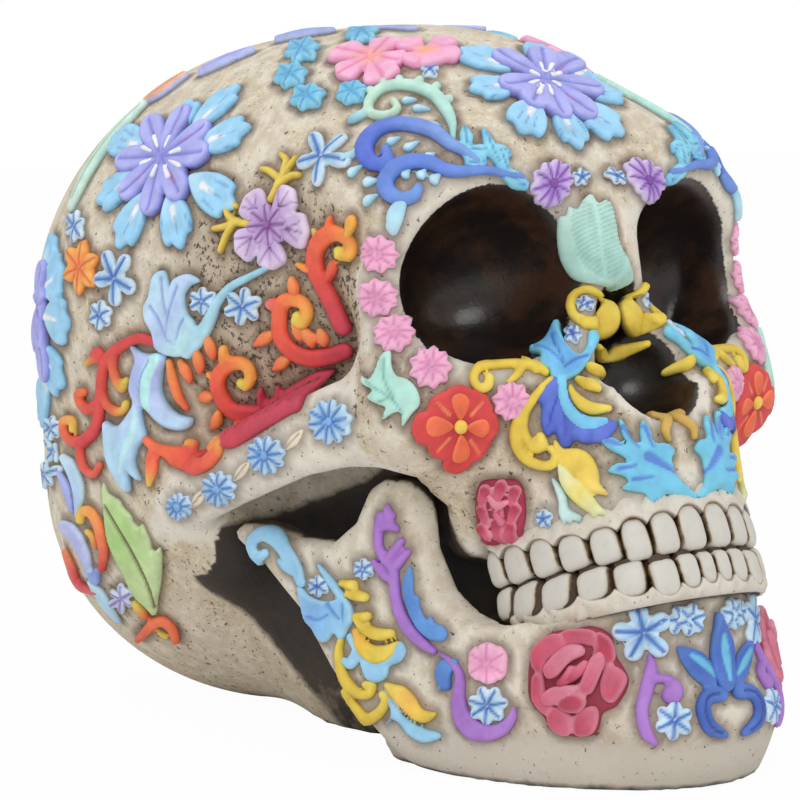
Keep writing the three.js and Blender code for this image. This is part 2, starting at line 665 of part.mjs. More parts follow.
// Each ornament of the right-hand side: its colour, the casting it lies on, its bearing from a named
// centre, and its shapes. Headings are clockwise from upright, then come steps of a length and a bend.
const sideOrnaments = {
  temple_blossom: { color: lilac, on: skullField, centre: brainCentre, yaw: 87.5, lift: 30.5, flowers: [blossom] },
  rear_blossom: { color: lilac, on: skullField, centre: brainCentre, yaw: 121, lift: -1, flowers: [smallBlossom] },
  mauve_flower: {
    color: mauve, on: skullField, centre: brainCentre, yaw: 53, lift: 14.5,
    flowers: [{ petals: 5, radius: 8.2, waistShare: 0.66 }],
  },
  red_scroll: {
    color: coral, on: skullField, centre: brainCentre, yaw: 42, lift: 4,
    tendrils: [{
      start: [4, -11], heading: -30, steps: [[7, 0], [7, 10], [5, 20], ...curl(3.6)],
      wide: 4.4, widthShares: scrollShares,
    }],
  },
  orange_scroll: {
    color: coral, on: skullField, centre: brainCentre, yaw: 47, lift: -5.5,
    tendrils: [{
      start: [11, -5], heading: -95, steps: [[7, 5], [6, 25], [5, 35], ...curl(3.4)],
      wide: 4.2, widthShares: scrollShares,
    }],
  },
  coral_scroll: {
    color: coral, on: skullField, centre: brainCentre, yaw: 60, lift: -14.5,
    tendrils: [{
      start: [6, -3], heading: -95, steps: [[6, -5], [6, 20], [4.5, 45], ...curl(3.2)],
      wide: 4.2, widthShares: scrollShares,
    }],
  },
  red_branch: {
    color: scarlet, on: skullField, centre: brainCentre, yaw: 98, lift: -18,
    tendrils: [{
      start: [-9, -13], heading: 35, steps: [[8, 0], [7, -25], [7, 0], [7, 35], [6, 15]],
      wide: 3, widthShares: [0.5, 0.9, 1, 0.9, 0.5],
    }],
  },
  pale_tulip: {
    color: sky, on: skullField, centre: brainCentre, yaw: 76, lift: -3,
    tendrils: [
      {
        start: [3, -9], heading: -12, steps: [[5, 0], [5, 0], [5, 4], [4, 4]],
        wide: 13, widthShares: petalShares, high: 2,
      },
      {
        start: [2, -8], heading: 75, steps: [[6, -15], [6, -25], [6, 0], [6, 20]],
        wide: 2.6, widthShares: [1, 0.9, 0.8, 0.6],
      },
    ],
  },
  pale_leaf: {
    color: sky, on: skullField, centre: brainCentre, yaw: 90.5, lift: -20,
    tendrils: [
      {
        start: [-2, 13], heading: 175, steps: [[6, 0], [6, 5], [5, -15], [4, -15]],
        wide: 9, widthShares: leafShares, high: 2,
      },
      {
        start: [-2, -2], heading: 195, steps: [[5, 0], [5, -10], [5, 0]],
        wide: 7, widthShares: [0.8, 1, 0.8, 0.2], high: 2,
      },
    ],
  },
  mint_scroll: {
    color: mint, on: skullField, centre: brainCentre, yaw: 25.5, lift: 32,
    tendrils: [{
      start: [7, -7], heading: -15,
      steps: [[6, -5], [6, -30], [5, -30], [5, -35], [3.5, -45], [3.5, -60], [3, -70]],
      wide: 3.6, widthShares: scrollShares,
    }],
  },
  brow_scroll: {
    color: ink, on: skullField, centre: brainCentre, yaw: 28, lift: 25,
    tendrils: [{
      start: [11, -7], heading: -40,
      steps: [[6, 0], [6, -20], [5, -25], [4.5, -35], [3.5, -50], [3.5, -60], [3, -60]],
      wide: 3.6, widthShares: scrollShares,
    }],
  },
  brow_daisy: {
    color: mauve, on: skullField, centre: brainCentre, yaw: 8.5, lift: 18.5,
    flowers: [{ petals: 8, radius: 4.6, waistShare: 0.68, high: 1.8 }],
  },
  pink_flower: {
    color: pink, on: skullField, centre: brainCentre, yaw: 33, lift: 47,
    flowers: [{ petals: 5, radius: 9.5, waistShare: 0.6, high: 2.2 }],
  },
  mint_leaf: {
    color: mint, on: skullField, centre: faceCentre, yaw: 61, lift: 12,
    tendrils: [{
      start: [-5, 5], heading: 135, steps: [[4, 0], [4, 5], [5, 5]],
      wide: 8.5, widthShares: leafShares,
    }],
  },
  red_flower: {
    color: scarlet, on: skullField, centre: faceCentre, yaw: 48, lift: 5.5,
    flowers: [{ petals: 8, radius: 9.6, waistShare: 0.78, high: 2.4 }],
  },
  face_lily: {
    color: ink, on: skullField, centre: faceCentre, yaw: 23, lift: 13,
    tendrils: [{
      start: [-1, 11], heading: 180, steps: [[6, 0], [6, 5], [6, -5], [5, 0]],
      wide: 8.6, widthShares: [0.35, 1, 0.6, 0.9, 0.9, 0.2],
    }],
  },
  cyan_leaf: {
    color: cyan, on: skullField, centre: faceCentre, yaw: 9.5, lift: -2,
    tendrils: [{
      start: [-8, 8], heading: 125, steps: [[5, 0], [5, 5], [5, 0], [5, 5]],
      wide: 13, widthShares: leafShares,
    }],
  },
  rosebud: {
    color: roseRed, on: skullField, centre: faceCentre, yaw: 37, lift: -12.5,
    flowers: [{ petals: 5, radius: 5, waistShare: 0.84 }],
  },
  arch_flower: {
    color: sky, on: skullField, centre: faceCentre, yaw: 76, lift: 4.5,
    flowers: [{ petals: 7, radius: 5, waistShare: 0.68, high: 1.7 }],
  },
  green_leaf: {
    color: leafGreen, on: skullField, centre: brainCentre, yaw: 96, lift: -45,
    tendrils: [{
      start: [-3, 11], heading: 165, steps: [[5.5, 0], [5.5, 0], [5.5, 0], [5.5, -5]],
      wide: 9, widthShares: leafShares,
    }],
  },
  jaw_vine: {
    color: violet, on: jawField, centre: jawCentre, yaw: 84, lift: 23,
    tendrils: [{
      start: [4, -12], heading: -35, steps: [[6, 0], [6, 10], [6, 20], [6, 15], [5, 0]],
      wide: 3.6, widthShares: [0.5, 0.9, 1, 0.8, 0.5],
    }],
  },
  jaw_leaf: {
    color: sky, on: jawField, centre: jawCentre, yaw: 104, lift: 12,
    tendrils: [{
      start: [-2, 12], heading: 170, steps: [[5, 0], [5, 0], [5, -5], [5, -10]],
      wide: 9, widthShares: [0.2, 0.7, 1, 0.9, 0.3],
    }],
  },
  jaw_crescent: {
    color: violet, on: jawField, centre: jawCentre, yaw: 58, lift: -3,
    tendrils: [{
      start: [-7, 9], heading: 160, steps: [[5, 0], [5, 15], [5, -25], [5, -45], [5, -35], [4, -20]],
      wide: 4, widthShares: [0.2, 0.8, 1, 1, 0.7, 0.15],
    }],
  },
  jaw_rose: {
    color: roseRed, on: jawField, centre: jawCentre, yaw: 31, lift: 3,
    flowers: [{ petals: 7, radius: 10.8, waistShare: 0.88, high: 3 }],
  },
  jaw_flower: {
    color: sky, on: jawField, centre: jawCentre, yaw: 15, lift: 11.5,
    flowers: [{ petals: 5, radius: 4.6, waistShare: 0.6, high: 1.7 }],
  },
};

// Ornaments on the middle line, which mirror onto themselves.
const middleOrnaments = {
  crown_blossom: { color: lilac, on: skullField, centre: brainCentre, yaw: 0, lift: 36, flowers: [blossom] },
  bridge_leaf: {
    color: mint, on: skullField, centre: brainCentre, yaw: 0, lift: 9,
    tendrils: [{
      start: [0, 7], heading: 180, steps: [[5, 0], [5, 0], [4, 0]],
      wide: 11, widthShares: [0.3, 0.9, 1, 0.75, 0.1],
    }],
  },
  chin_lily: {
    color: ink, on: jawField, centre: jawCentre, yaw: 0, lift: 2,
    tendrils: [
      {
        start: [0, 12], heading: 180, steps: [[6, 0], [6, 0], [6, 0], [5, 0]],
        wide: 7, widthShares: [0.15, 0.8, 1, 0.9, 0.3],
      },
      { start: [-8, 6], heading: 135, steps: [[5, 0], [5, 0]], wide: 5, widthShares: [0.1, 1, 0.6] },
      { start: [8, 6], heading: -135, steps: [[5, 0], [5, 0]], wide: 5, widthShares: [0.1, 1, 0.6] },
    ],
  },
};

const gumTip = { at: [0, upperGum.reach, upperGum.frontLow], thick: 0 };
const skullReach = reachOf([
  vault, forehead, occiput, browMass, plinth, maxilla, cheek, throat, noseBridge, gumTip,
  ...mastoid, ...brow, ...cheekPost, ...socketFloor, ...arch,
]);
const jawReach = reachOf([
  { at: toSkull(chin.at), radii: chin.radii },
  { at: toSkull([0, -Math.max(jawFront.base, jawFront.top), 0]), thick: 0 },
  { at: toSkull([Math.max(jawSide.base, jawSide.top), 0, 0]), thick: 0 },
  ...ramus.map(([f, z]) => ({ at: [ramusX.rear, f, z], thick: ramusThick })),
]);
const hollowReach = reachOf([innerVault, innerOcciput]);
const underTable = -linesUnderTable * sideStep;

const skullSides = gridLines(
  -gridReach.side, [-gridReach.nose, sideStep], [gridReach.nose, faceStep], [gridReach.side, sideStep]
);
const skullLength = gridLines(-gridReach.front, [-gridReach.cheek, faceStep], [0, sideStep], [gridReach.back, backStep]);
const skullHeight = gridLines(-sideStep, [0, sideStep], [gridReach.brow, faceStep], [gridReach.top, backStep]);
const skullGrid = [
  cover(skullSides, -skullReach.max.x, skullReach.max.x),
  cover(skullLength, skullReach.min.y, skullReach.max.y),
  cover(skullHeight, underTable, skullReach.max.z),
];
const jawSides = gridLines(-gridReach.side, [gridReach.side, jawStep]);
const jawLength = gridLines(-gridReach.front, [gridReach.jawBack, jawStep]);
const jawHeight = gridLines(-sideStep, [0, sideStep], [gridReach.jawTop, jawStep]);
const jawGrid = [
  cover(jawSides, -jawReach.max.x, jawReach.max.x),
  cover(jawLength, jawReach.min.y, jawReach.max.y),
  cover(jawHeight, underTable, jawReach.max.z),
];
const hollowSides = gridLines(-gridReach.side, [gridReach.side, hollowStep]);
const hollowLength = gridLines(-gridReach.back, [gridReach.back, hollowStep]);
const hollowHeight = gridLines(-sideStep, [gridReach.top, hollowStep]);
const hollowGrid = [
  cover(hollowSides, -hollowReach.max.x, hollowReach.max.x),
  cover(hollowLength, hollowReach.min.y, hollowReach.max.y),
  cover(hollowHeight, hollowReach.min.z, hollowReach.max.z),
];

function pourHoleSolid() {
  const circle = (z) =>
    Array.from({ length: pourHole.sides }, (_, i) => {
      const a = (2 * Math.PI * i) / pourHole.sides;
      const [x, y] = pourHole.at;
      return new THREE.Vector3(x + pourHole.radius * Math.cos(a), y + pourHole.radius * Math.sin(a), z);
    });
  return solidOf(skin([circle(-pourHole.below), circle(pourHole.depth)]));
}

function skullCasting() {
  const shell = solidOf(surfaceOf(skullField, skullGrid));
  return shell.subtract(solidOf(surfaceOf(hollowField, hollowGrid))).subtract(pourHoleSolid());
}

// The castings grown by the fitting gap, which the undersides of the ornaments are cut to.
const beds = new Map([
  [skullField, solidOf(surfaceOf((p) => Math.max(skullField(p) - bedGap, -p[2]), skullGrid))],
  [jawField, solidOf(surfaceOf((p) => Math.max(jawField(p) - bedGap, -p[2]), jawGrid))],
]);

function ornamentSolid(ornament) {
  const frame = seat(ornament.on, ornament);
  const flowers = (ornament.flowers ?? []).map((shape) => flower(frame, shape));
  const tendrils = (ornament.tendrils ?? []).map((shape) => tendril(frame, shape));
  return Manifold.union([...flowers, ...tendrils]).subtract(beds.get(ornament.on));
}

function mirrorGeometry(geometry) {
  const copy = geometry.clone();
  const at = copy.getAttribute("position");
  for (let v = 0; v < at.count; v++) at.setX(v, -at.getX(v));
  copy.setIndex(Array.from(copy.index.array).reverse());
  copy.computeVertexNormals();
  return copy;
}

const part = new THREE.Group();

function add(name, geometry, color, roughness) {
  const material = new THREE.MeshStandardMaterial({ color, roughness, metalness: 0 });
  const mesh = new THREE.Mesh(geometry, material);
  mesh.name = name;
  part.add(mesh);
}

add("skull_casting", geometryOf(skullCasting()), bone, stoneRough);
add("jaw_casting", geometryOf(solidOf(surfaceOf(jawField, jawGrid))), bone, stoneRough);
add("upper_teeth", geometryOf(toothRow(upperTeeth, 1)), ivory, toothRough);
add("lower_teeth", geometryOf(toothRow(lowerTeeth, -1)), ivory, toothRough);
for (const [name, ornament] of Object.entries(middleOrnaments)) {
  add(name, geometryOf(ornamentSolid(ornament)), ornament.color, paintRough);
}
for (const [name, ornament] of Object.entries(sideOrnaments)) {
  const right = geometryOf(ornamentSolid(ornament));
  add(`right_${name}`, right, ornament.color, paintRough);
  add(`left_${name}`, mirrorGeometry(right), ornament.color, paintRough);
}

// The origin is the middle of the footprint, on the table.
const box = new THREE.Box3().setFromObject(part);
const middle = box.getCenter(new THREE.Vector3());
for (const mesh of part.children) mesh.geometry.translate(-middle.x, -middle.y, -box.min.z);

export default part;
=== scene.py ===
# A painted skull ornament in the style of the day of the dead, dressed for its portrait. Metres
# outside, millimetres inside the sculpting functions. The face looks along -Y, its own left is +X.
import math
import bmesh
import bpy
import numpy as np
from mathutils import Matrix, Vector
from mathutils.bvhtree import BVHTree


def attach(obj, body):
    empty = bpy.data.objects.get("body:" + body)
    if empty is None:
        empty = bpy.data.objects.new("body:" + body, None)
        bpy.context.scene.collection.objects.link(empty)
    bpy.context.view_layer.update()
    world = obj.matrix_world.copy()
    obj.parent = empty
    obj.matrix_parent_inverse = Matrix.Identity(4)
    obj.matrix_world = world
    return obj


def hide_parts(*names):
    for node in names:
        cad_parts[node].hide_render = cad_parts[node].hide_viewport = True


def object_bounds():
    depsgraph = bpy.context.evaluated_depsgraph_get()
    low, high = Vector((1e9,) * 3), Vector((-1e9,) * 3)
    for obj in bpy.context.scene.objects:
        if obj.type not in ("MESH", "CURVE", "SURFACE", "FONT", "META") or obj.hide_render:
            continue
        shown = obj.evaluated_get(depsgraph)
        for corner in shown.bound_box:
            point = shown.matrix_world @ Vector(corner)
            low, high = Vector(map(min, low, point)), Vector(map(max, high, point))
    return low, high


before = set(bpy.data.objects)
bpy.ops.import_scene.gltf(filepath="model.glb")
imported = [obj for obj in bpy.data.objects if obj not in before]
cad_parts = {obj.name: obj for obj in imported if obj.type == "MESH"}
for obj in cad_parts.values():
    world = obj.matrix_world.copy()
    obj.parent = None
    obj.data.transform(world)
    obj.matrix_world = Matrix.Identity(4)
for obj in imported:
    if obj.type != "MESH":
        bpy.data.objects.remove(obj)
cadBox = [list(corner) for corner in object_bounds()]
print("frame loaded, with", len(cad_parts), "cast pieces")


# Camera.
view = {"azimuth": -38.0, "elevation": 6.0, "distance": 830.0, "focus": 3740.0, "centre": (409.0, 430.0),
        "aim": (0.0, 3.115, 63.96), "frame": 800, "sensor": 36.0, "clip": (0.05, 20)}


def cameraAxes():
    a, e = math.radians(view["azimuth"]), math.radians(view["elevation"])
    back = np.array([math.sin(a) * math.cos(e), -math.cos(a) * math.cos(e), math.sin(e)])
    right = np.array([math.cos(a), math.sin(a), 0.0])
    return back, right, np.cross(back, right)


back, right, upward = cameraAxes()
eye = np.array(view["aim"]) + back * view["distance"]


def lookThrough(pixel):  # the direction from the eye through a point of the picture
    across, down = (pixel[0] - view["centre"][0]), (pixel[1] - view["centre"][1])
    way = -back * view["focus"] + right * across - upward * down
    return way / np.linalg.norm(way)


def makeCamera():
    lens = bpy.data.cameras.new("camera")
    lens.sensor_width = view["sensor"]
    lens.lens = view["focus"] * view["sensor"] / view["frame"]
    lens.clip_start, lens.clip_end = view["clip"]
    camera = bpy.data.objects.new("camera", lens)
    bpy.context.scene.collection.objects.link(camera)
    camera.location = Vector(eye) / 1000
    middle = view["frame"] / 2
    camera.rotation_mode = "QUATERNION"
    camera.rotation_quaternion = Vector(lookThrough((middle, middle))).to_track_quat("-Z", "Y")
    bpy.context.scene.camera = camera


makeCamera()


# Paint and finishes.
def srgb(code):  # sRGB hex to linear colour
    parts = [int(code[i:i + 2], 16) / 255 for i in (1, 3, 5)]
    return [p / 12.92 if p <= 0.04045 else ((p + 0.055) / 1.055) ** 2.4 for p in parts] + [1.0]


def addNode(material, kind, inputs=None, **settings):  # one node, its settings, values and links
    node = material.node_tree.nodes.new(kind)
    for name, value in settings.items():
        setattr(node, name, value)
    for name, value in (inputs or {}).items():
        if isinstance(value, bpy.types.NodeSocket):
            material.node_tree.links.new(value, node.inputs[name])
        else:
            node.inputs[name].default_value = srgb(value) if isinstance(value, str) else value
    return node


def newMaterial(name, roughness, ior=1.5):
    material = bpy.data.materials.new(name)
    material.use_nodes = True
    shader = material.node_tree.nodes["Principled BSDF"]
    shader.inputs["Roughness"].default_value = roughness
    shader.inputs["IOR"].default_value = ior
    return material, shader


# The stage.
stage = {"floor": "#f4f3f0", "white": "#ffffff", "size": 6.0, "world": 0.62, "glow": 0.97, "below": 0.0004,
         "aim": (0, 0, 0.07),
         "key": {"at": (-1.5, -1.7, 1.9), "size": 1.5, "power": 27},
         "fill": {"at": (1.7, -1.5, 0.9), "size": 1.8, "power": 5.5},
         "top": {"at": (-0.2, 0.6, 2.2), "size": 1.8, "power": 11}}


def makeStage():
    floor, shader = newMaterial("paleCard", 0.9)  # matt card, hardly any sheen
    shader.inputs["Base Color"].default_value = srgb(stage["floor"])
    seen = addNode(floor, "ShaderNodeLightPath")
    glow = addNode(floor, "ShaderNodeEmission", {"Color": stage["white"], "Strength": 1.0})
    share = addNode(floor, "ShaderNodeMath", {0: seen.outputs["Is Camera Ray"], 1: stage["glow"]},
        operation="MULTIPLY")
    mixed = addNode(floor, "ShaderNodeMixShader", {0: share.outputs[0], 1: shader.outputs[0],
        2: glow.outputs[0]})
    floor.node_tree.links.new(mixed.outputs[0], floor.node_tree.nodes["Material Output"].inputs["Surface"])
    shape = bmesh.new()
    bmesh.ops.create_grid(shape, x_segments=1, y_segments=1, size=stage["size"] / 2)
    mesh = bpy.data.meshes.new("floor")
    shape.to_mesh(mesh)
    shape.free()
    mesh.materials.append(floor)
    card = bpy.data.objects.new("floor", mesh)
    bpy.context.scene.collection.objects.link(card)
    card.location.z = -stage["below"]
    world = bpy.data.worlds.new("studio")
    bpy.context.scene.world = world
    world.use_nodes = True
    nodes, links = world.node_tree.nodes, world.node_tree.links
    soft, white = nodes["Background"], nodes.new("ShaderNodeBackground")
    soft.inputs["Color"].default_value = srgb(stage["white"])
    soft.inputs["Strength"].default_value = stage["world"]
    white.inputs["Color"].default_value = srgb(stage["white"])
    white.inputs["Strength"].default_value = 1.0
    path, choose = nodes.new("ShaderNodeLightPath"), nodes.new("ShaderNodeMixShader")
    links.new(path.outputs["Is Camera Ray"], choose.inputs[0])
    links.new(soft.outputs[0], choose.inputs[1])
    links.new(white.outputs[0], choose.inputs[2])
    links.new(choose.outputs[0], nodes["World Output"].inputs["Surface"])
    for name in ("key", "fill", "top"):
        lamp = bpy.data.lights.new(name, "AREA")
        lamp.size, lamp.energy = stage[name]["size"], stage[name]["power"]
        item = bpy.data.objects.new(name, lamp)
        bpy.context.scene.collection.objects.link(item)
        item.location = stage[name]["at"]
        item.rotation_mode = "QUATERNION"
        item.rotation_quaternion = (Vector(stage["aim"]) - item.location).to_track_quat("-Z", "Y")
    bpy.context.scene.view_settings.view_transform = "Standard"


makeStage()
print("camera, floor and light are up")


# The sculpted castings.
# Distance shapes of the two castings, in millimetres. x is to the side, f forward and z up, from
# the middle of the line through the ears, as in the part's own source. A ball is its centre and
# radii. A chain's stations are a place and a radius, and a half height where it is flattened.
head = {"tip": 24.5, "ears": (3.1148, 63.96)}
vault = ((0, -21, 39), (62.5, 67, 59))
forehead = ((0, 27, 31), (50, 52, 48))
occiput = ((0, -43, 6), (59, 55, 52.5))
plinth = ((0, -10, -31), (33, 40, 42))
mastoid = ((47, -20, 2, 12), (41, -18, -16, 11))
brow = ((10, 73, 25, 5), (27, 74.5, 29.5, 4.5), (42, 67, 24, 4.5))
cheekPost = ((42, 67, 24, 4.5), (44.5, 60, 13, 5.5), (44, 57.5, 2, 6), (41, 55, -11, 8))
socketFloor = ((45, 58, -4, 5), (30, 66, -13, 5), (12, 72, -8, 5))
socketWall = ((42.5, 51.5, 20, 4.5), (42, 51.5, 0, 4.5))
socketFill = ((42.3, 51.5, 10), (5, 5, 14))
cheek = ((40, 53, -14), (13, 13, 12))
arch = ((45, 52, -11, 5, 10), (53, 30, -9, 4, 8), (54.5, 8, -8, 4, 7.5), (53, -12, -8, 4.5, 6),
    (52, -24, -8, 3, 4))
maxilla = ((0, 46, -20), (36, 34, 27))
throat = ((0, 33, -44), (16, 15, 15))
browMass = ((20, 57, 33), (29, 23, 15))
noseBridge = ((0, 65, 12), (13, 18, 20))
upperGum = {"halfWidth": 27.6, "reach": 83.3, "from": 44, "frontLow": -44.8, "rearLow": -39.8, "high": -20,
    "power": 2.5, "overrun": 2, "rise": (3, 9)}
orbit = ((27.8, 81, 8), (19.3, 31, 17.6))
noseTop = ((0, 88, -3), (6.5, 20, 8.5))
noseFoot = ((0, 88, -15), (12, 22, 12.5))
temple = ((65, 35, 4), (15, 18, 26))
cheekHollow = ((46, 42, -32, 9, 14), (44, 2, -34, 9, 20))
jaw = {"level": 38, "side": (37, 33), "front": (103, 99), "start": 50, "overrun": 12, "wall": 13, "lift": 3,
    "foot": 10, "top": (-59.4, -64, 44, 82), "chin": ((0, -94, 14), (20, 11, 11)), "ramusX": (45, 300),
    "ramusThick": 5, "power": 2, "gap": 1.4}
ramus = ((-6, -17), (-2, -16.5), (4, -19.5), (11, -25), (21, -29.5), (29, -27.5), (35, -22.5), (40, -21.5),
         (44, -24), (43, -31), (40.5, -38), (40.5, -47), (44, -55), (50, -61), (58, -63), (62, -70),
         (62, -80), (46, -90), (31, -84), (20, -77), (14, -66), (10, -54), (7, -40), (0, -27), (-6, -20))
dentalArch = {"halfWidth": 27.3, "reach": 83.7, "from": 44, "power": 2.5, "clear": 0.4}
# how softly each shape runs into the rest, in millimetres
blend = {"forehead": 22, "occiput": 12, "browMass": 12, "plinth": 14, "mastoid": 8, "maxilla": 10,
    "cheek": 12, "throat": 8, "gum": 10, "temple": 6, "cheekHollow": 5, "brow": 9, "cheekPost": 5,
    "socketFloor": 8, "socketWall": 4, "noseBridge": 8, "arch": 5, "orbit": 3.5, "noseParts": 4, "nose": 3.5,
    "chin": 8, "ramusEdge": 4, "ramus": 8}
tipSin, tipCos = math.sin(math.radians(head["tip"])), math.cos(math.radians(head["tip"]))


def toSkull(p):  # table millimetres to the skull's own axes
    y, z = p[:, 1] - head["ears"][0], p[:, 2] - head["ears"][1]
    return np.stack([p[:, 0], z * tipSin - y * tipCos, y * tipSin + z * tipCos], 1)


def toTable(q):
    q = np.atleast_2d(np.asarray(q, float))
    y = q[:, 2] * tipSin - q[:, 1] * tipCos + head["ears"][0]
    z = q[:, 1] * tipSin + q[:, 2] * tipCos + head["ears"][1]
    return np.stack([q[:, 0], y, z], 1)


def ball(q, shape):
    d, radii = q - np.array(shape[0], float), np.array(shape[1], float)
    reach = np.linalg.norm(d / radii, axis=1)
    slope = np.linalg.norm(d / radii ** 2, axis=1)
    return reach * (reach - 1) / np.maximum(slope, 1e-9)


def chain(q, stations):
    nearest = np.full(len(q), np.inf)
    for a, b in zip(stations, stations[1:]):
        d = np.array(b[:3], float) - np.array(a[:3], float)
        w = q - np.array(a[:3], float)
        t = np.clip(w @ d / (d @ d), 0, 1)
        thick = a[3] + (b[3] - a[3]) * t
        tall = a[-1] + (b[-1] - a[-1]) * t
        r = w - np.outer(t, d)
        away = np.sqrt(r[:, 0] ** 2 + r[:, 1] ** 2 + (r[:, 2] * thick / tall) ** 2)
        nearest = np.minimum(nearest, away - thick)
    return nearest


def join(a, b, soft):
    h = np.clip((1 + (b - a) / soft) / 2, 0, 1)
    return b + (a - b) * h - soft * h * (1 - h)


def carve(a, b, soft):
    return -join(-a, b, soft)


def horseshoe(across, along, halfWidth, reach, power):
    u, v = np.abs(across) / halfWidth, np.maximum(0, along) / reach
    k = np.maximum((u ** power + v ** power) ** (1 / power), 1e-6)
    return (k - 1) / np.hypot((u / k) ** (power - 1) / halfWidth, (v / k) ** (power - 1) / reach)


def gumFloor(f):
    g = upperGum
    return g["rearLow"] + (g["frontLow"] - g["rearLow"]) * (f - g["from"]) / (g["reach"] - g["from"])


def flatOutline(u, v, corners):  # signed distance to a closed outline
    nearest, inside = np.full(len(u), np.inf), np.zeros(len(u), bool)
    for a, b in zip(corners, list(corners[1:]) + [corners[0]]):
        e, w = (b[0] - a[0], b[1] - a[1]), (u - a[0], v - a[1])
        t = np.clip((w[0] * e[0] + w[1] * e[1]) / max(e[0] ** 2 + e[1] ** 2, 1e-12), 0, 1)
        nearest = np.minimum(nearest, np.hypot(w[0] - e[0] * t, w[1] - e[1] * t))
        if a[1] != b[1]:
            inside ^= ((a[1] > v) != (b[1] > v)) & (u < a[0] + (v - a[1]) / e[1] * e[0])
    return np.where(inside, -nearest, nearest)


def jawField(p):
    q = toSkull(p)
    q[:, 0] = np.abs(q[:, 0])
    y = p[:, 1] - head["ears"][0]
    t = np.clip(p[:, 2] / jaw["level"], 0, 1)
    side = jaw["side"][0] + (jaw["side"][1] - jaw["side"][0]) * t - jaw["wall"] / 2
    reach = jaw["front"][0] + (jaw["front"][1] - jaw["front"][0]) * t - jaw["start"] - jaw["wall"] / 2
    wall = np.abs(horseshoe(q[:, 0], -y - jaw["start"], side, reach, jaw["power"])) - jaw["wall"] / 2
    rear, front, begin, end = jaw["top"]
    top = rear + (front - rear) * (q[:, 1] - begin) / (end - begin)
    body = join(wall, ball(np.stack([q[:, 0], y, p[:, 2]], 1), jaw["chin"]), blend["chin"])
    trimmed = np.maximum(np.maximum(body, q[:, 2] - top), y + jaw["start"] - jaw["overrun"])
    middle = jaw["ramusX"][0] - np.minimum(0, y) ** 2 / jaw["ramusX"][1]
    slab = np.abs(q[:, 0] - middle) - jaw["ramusThick"]
    branch = -join(-flatOutline(q[:, 1], q[:, 2], ramus), -slab, blend["ramusEdge"])
    teeth = horseshoe(q[:, 0], q[:, 1] - dentalArch["from"], dentalArch["halfWidth"],
        dentalArch["reach"] - dentalArch["from"], dentalArch["power"])
    mouth = np.maximum(teeth - dentalArch["clear"], top - q[:, 2])
    both = np.maximum(join(trimmed, branch, blend["ramus"]), -mouth)
    return np.maximum(-join(-both, p[:, 2] + jaw["lift"], jaw["foot"]), -p[:, 2])


def skullField(p):
    q = toSkull(p)
    q[:, 0] = np.abs(q[:, 0])
    d = ball(q, vault)
    for shape, soft in ((forehead, "forehead"), (occiput, "occiput"), (browMass, "browMass"),
            (plinth, "plinth")):
        d = join(d, ball(q, shape), blend[soft])
    d = join(d, chain(q, mastoid), blend["mastoid"])
    for shape, soft in ((maxilla, "maxilla"), (cheek, "cheek"), (throat, "throat")):
        d = join(d, ball(q, shape), blend[soft])
    g = upperGum
    gum = horseshoe(q[:, 0], q[:, 1] - g["from"], g["halfWidth"], g["reach"] - g["from"], g["power"])
    low = gumFloor(q[:, 1])
    gum = np.maximum.reduce([gum, low - q[:, 2], q[:, 2] - g["high"], g["from"] - g["overrun"] - q[:, 1]])
    d = join(d, gum, blend["gum"])
    d = carve(d, ball(q, temple), blend["temple"])
    d = carve(d, chain(q, cheekHollow), blend["cheekHollow"])
    for shape, soft in ((brow, "brow"), (cheekPost, "cheekPost"), (socketFloor, "socketFloor"),
            (socketWall, "socketWall")):
        d = join(d, chain(q, shape), blend[soft])
    d = join(join(d, ball(q, noseBridge), blend["noseBridge"]), chain(q, arch), blend["arch"])
    d = carve(d, ball(q, orbit), blend["orbit"])
    d = carve(d, join(ball(q, noseTop), ball(q, noseFoot), blend["noseParts"]), blend["nose"])
    start, steep = g["rise"]
    behind = np.maximum(0, g["from"] + start - q[:, 1]) * steep
    d = np.maximum.reduce([d, low - q[:, 2] - behind, jaw["gap"] - jawField(p)])
    return np.maximum(d, -p[:, 2])


def fade(value, low, high):  # from 0 at low to 1 at high
    t = np.clip((value - low) / (high - low), 0, 1)
    return t * t * (3 - 2 * t)


def slopeOf(field, p, probe=0.08):
    return np.stack([(field(p + step) - field(p - step)) / (2 * probe) for step in np.eye(3) * probe], 1)


def newObject(name, mesh, slot, *nodes):  # a finished piece: it rides on the casting and stands for its nodes
    item = bpy.data.objects.new(name, mesh)
    bpy.context.scene.collection.objects.link(item)
    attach(item, "root")
    if nodes:
        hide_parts(*nodes)
    return item


def coordinates(mesh):
    places = np.zeros(len(mesh.vertices) * 3, np.float32)
    mesh.vertices.foreach_get("co", places)
    return places.reshape(-1, 3).astype(float) * 1000


def setCoordinates(mesh, places):
    mesh.vertices.foreach_set("co", (places / 1000).astype(np.float32).ravel())
    mesh.update()


def setAttribute(mesh, name, values):
    kind = "FLOAT" if values.ndim == 1 else "FLOAT_COLOR"
    layer = mesh.attributes.new(name, kind, "POINT")
    layer.data.foreach_set("value" if values.ndim == 1 else "color", values.astype(np.float32).ravel())


skinDetail = {"voxel": 1.4, "reach": 1.7, "turns": 5, "step": 0.6, "least": 0.15, "weld": 0.01, "ribs": 16,
    "rings": 12}


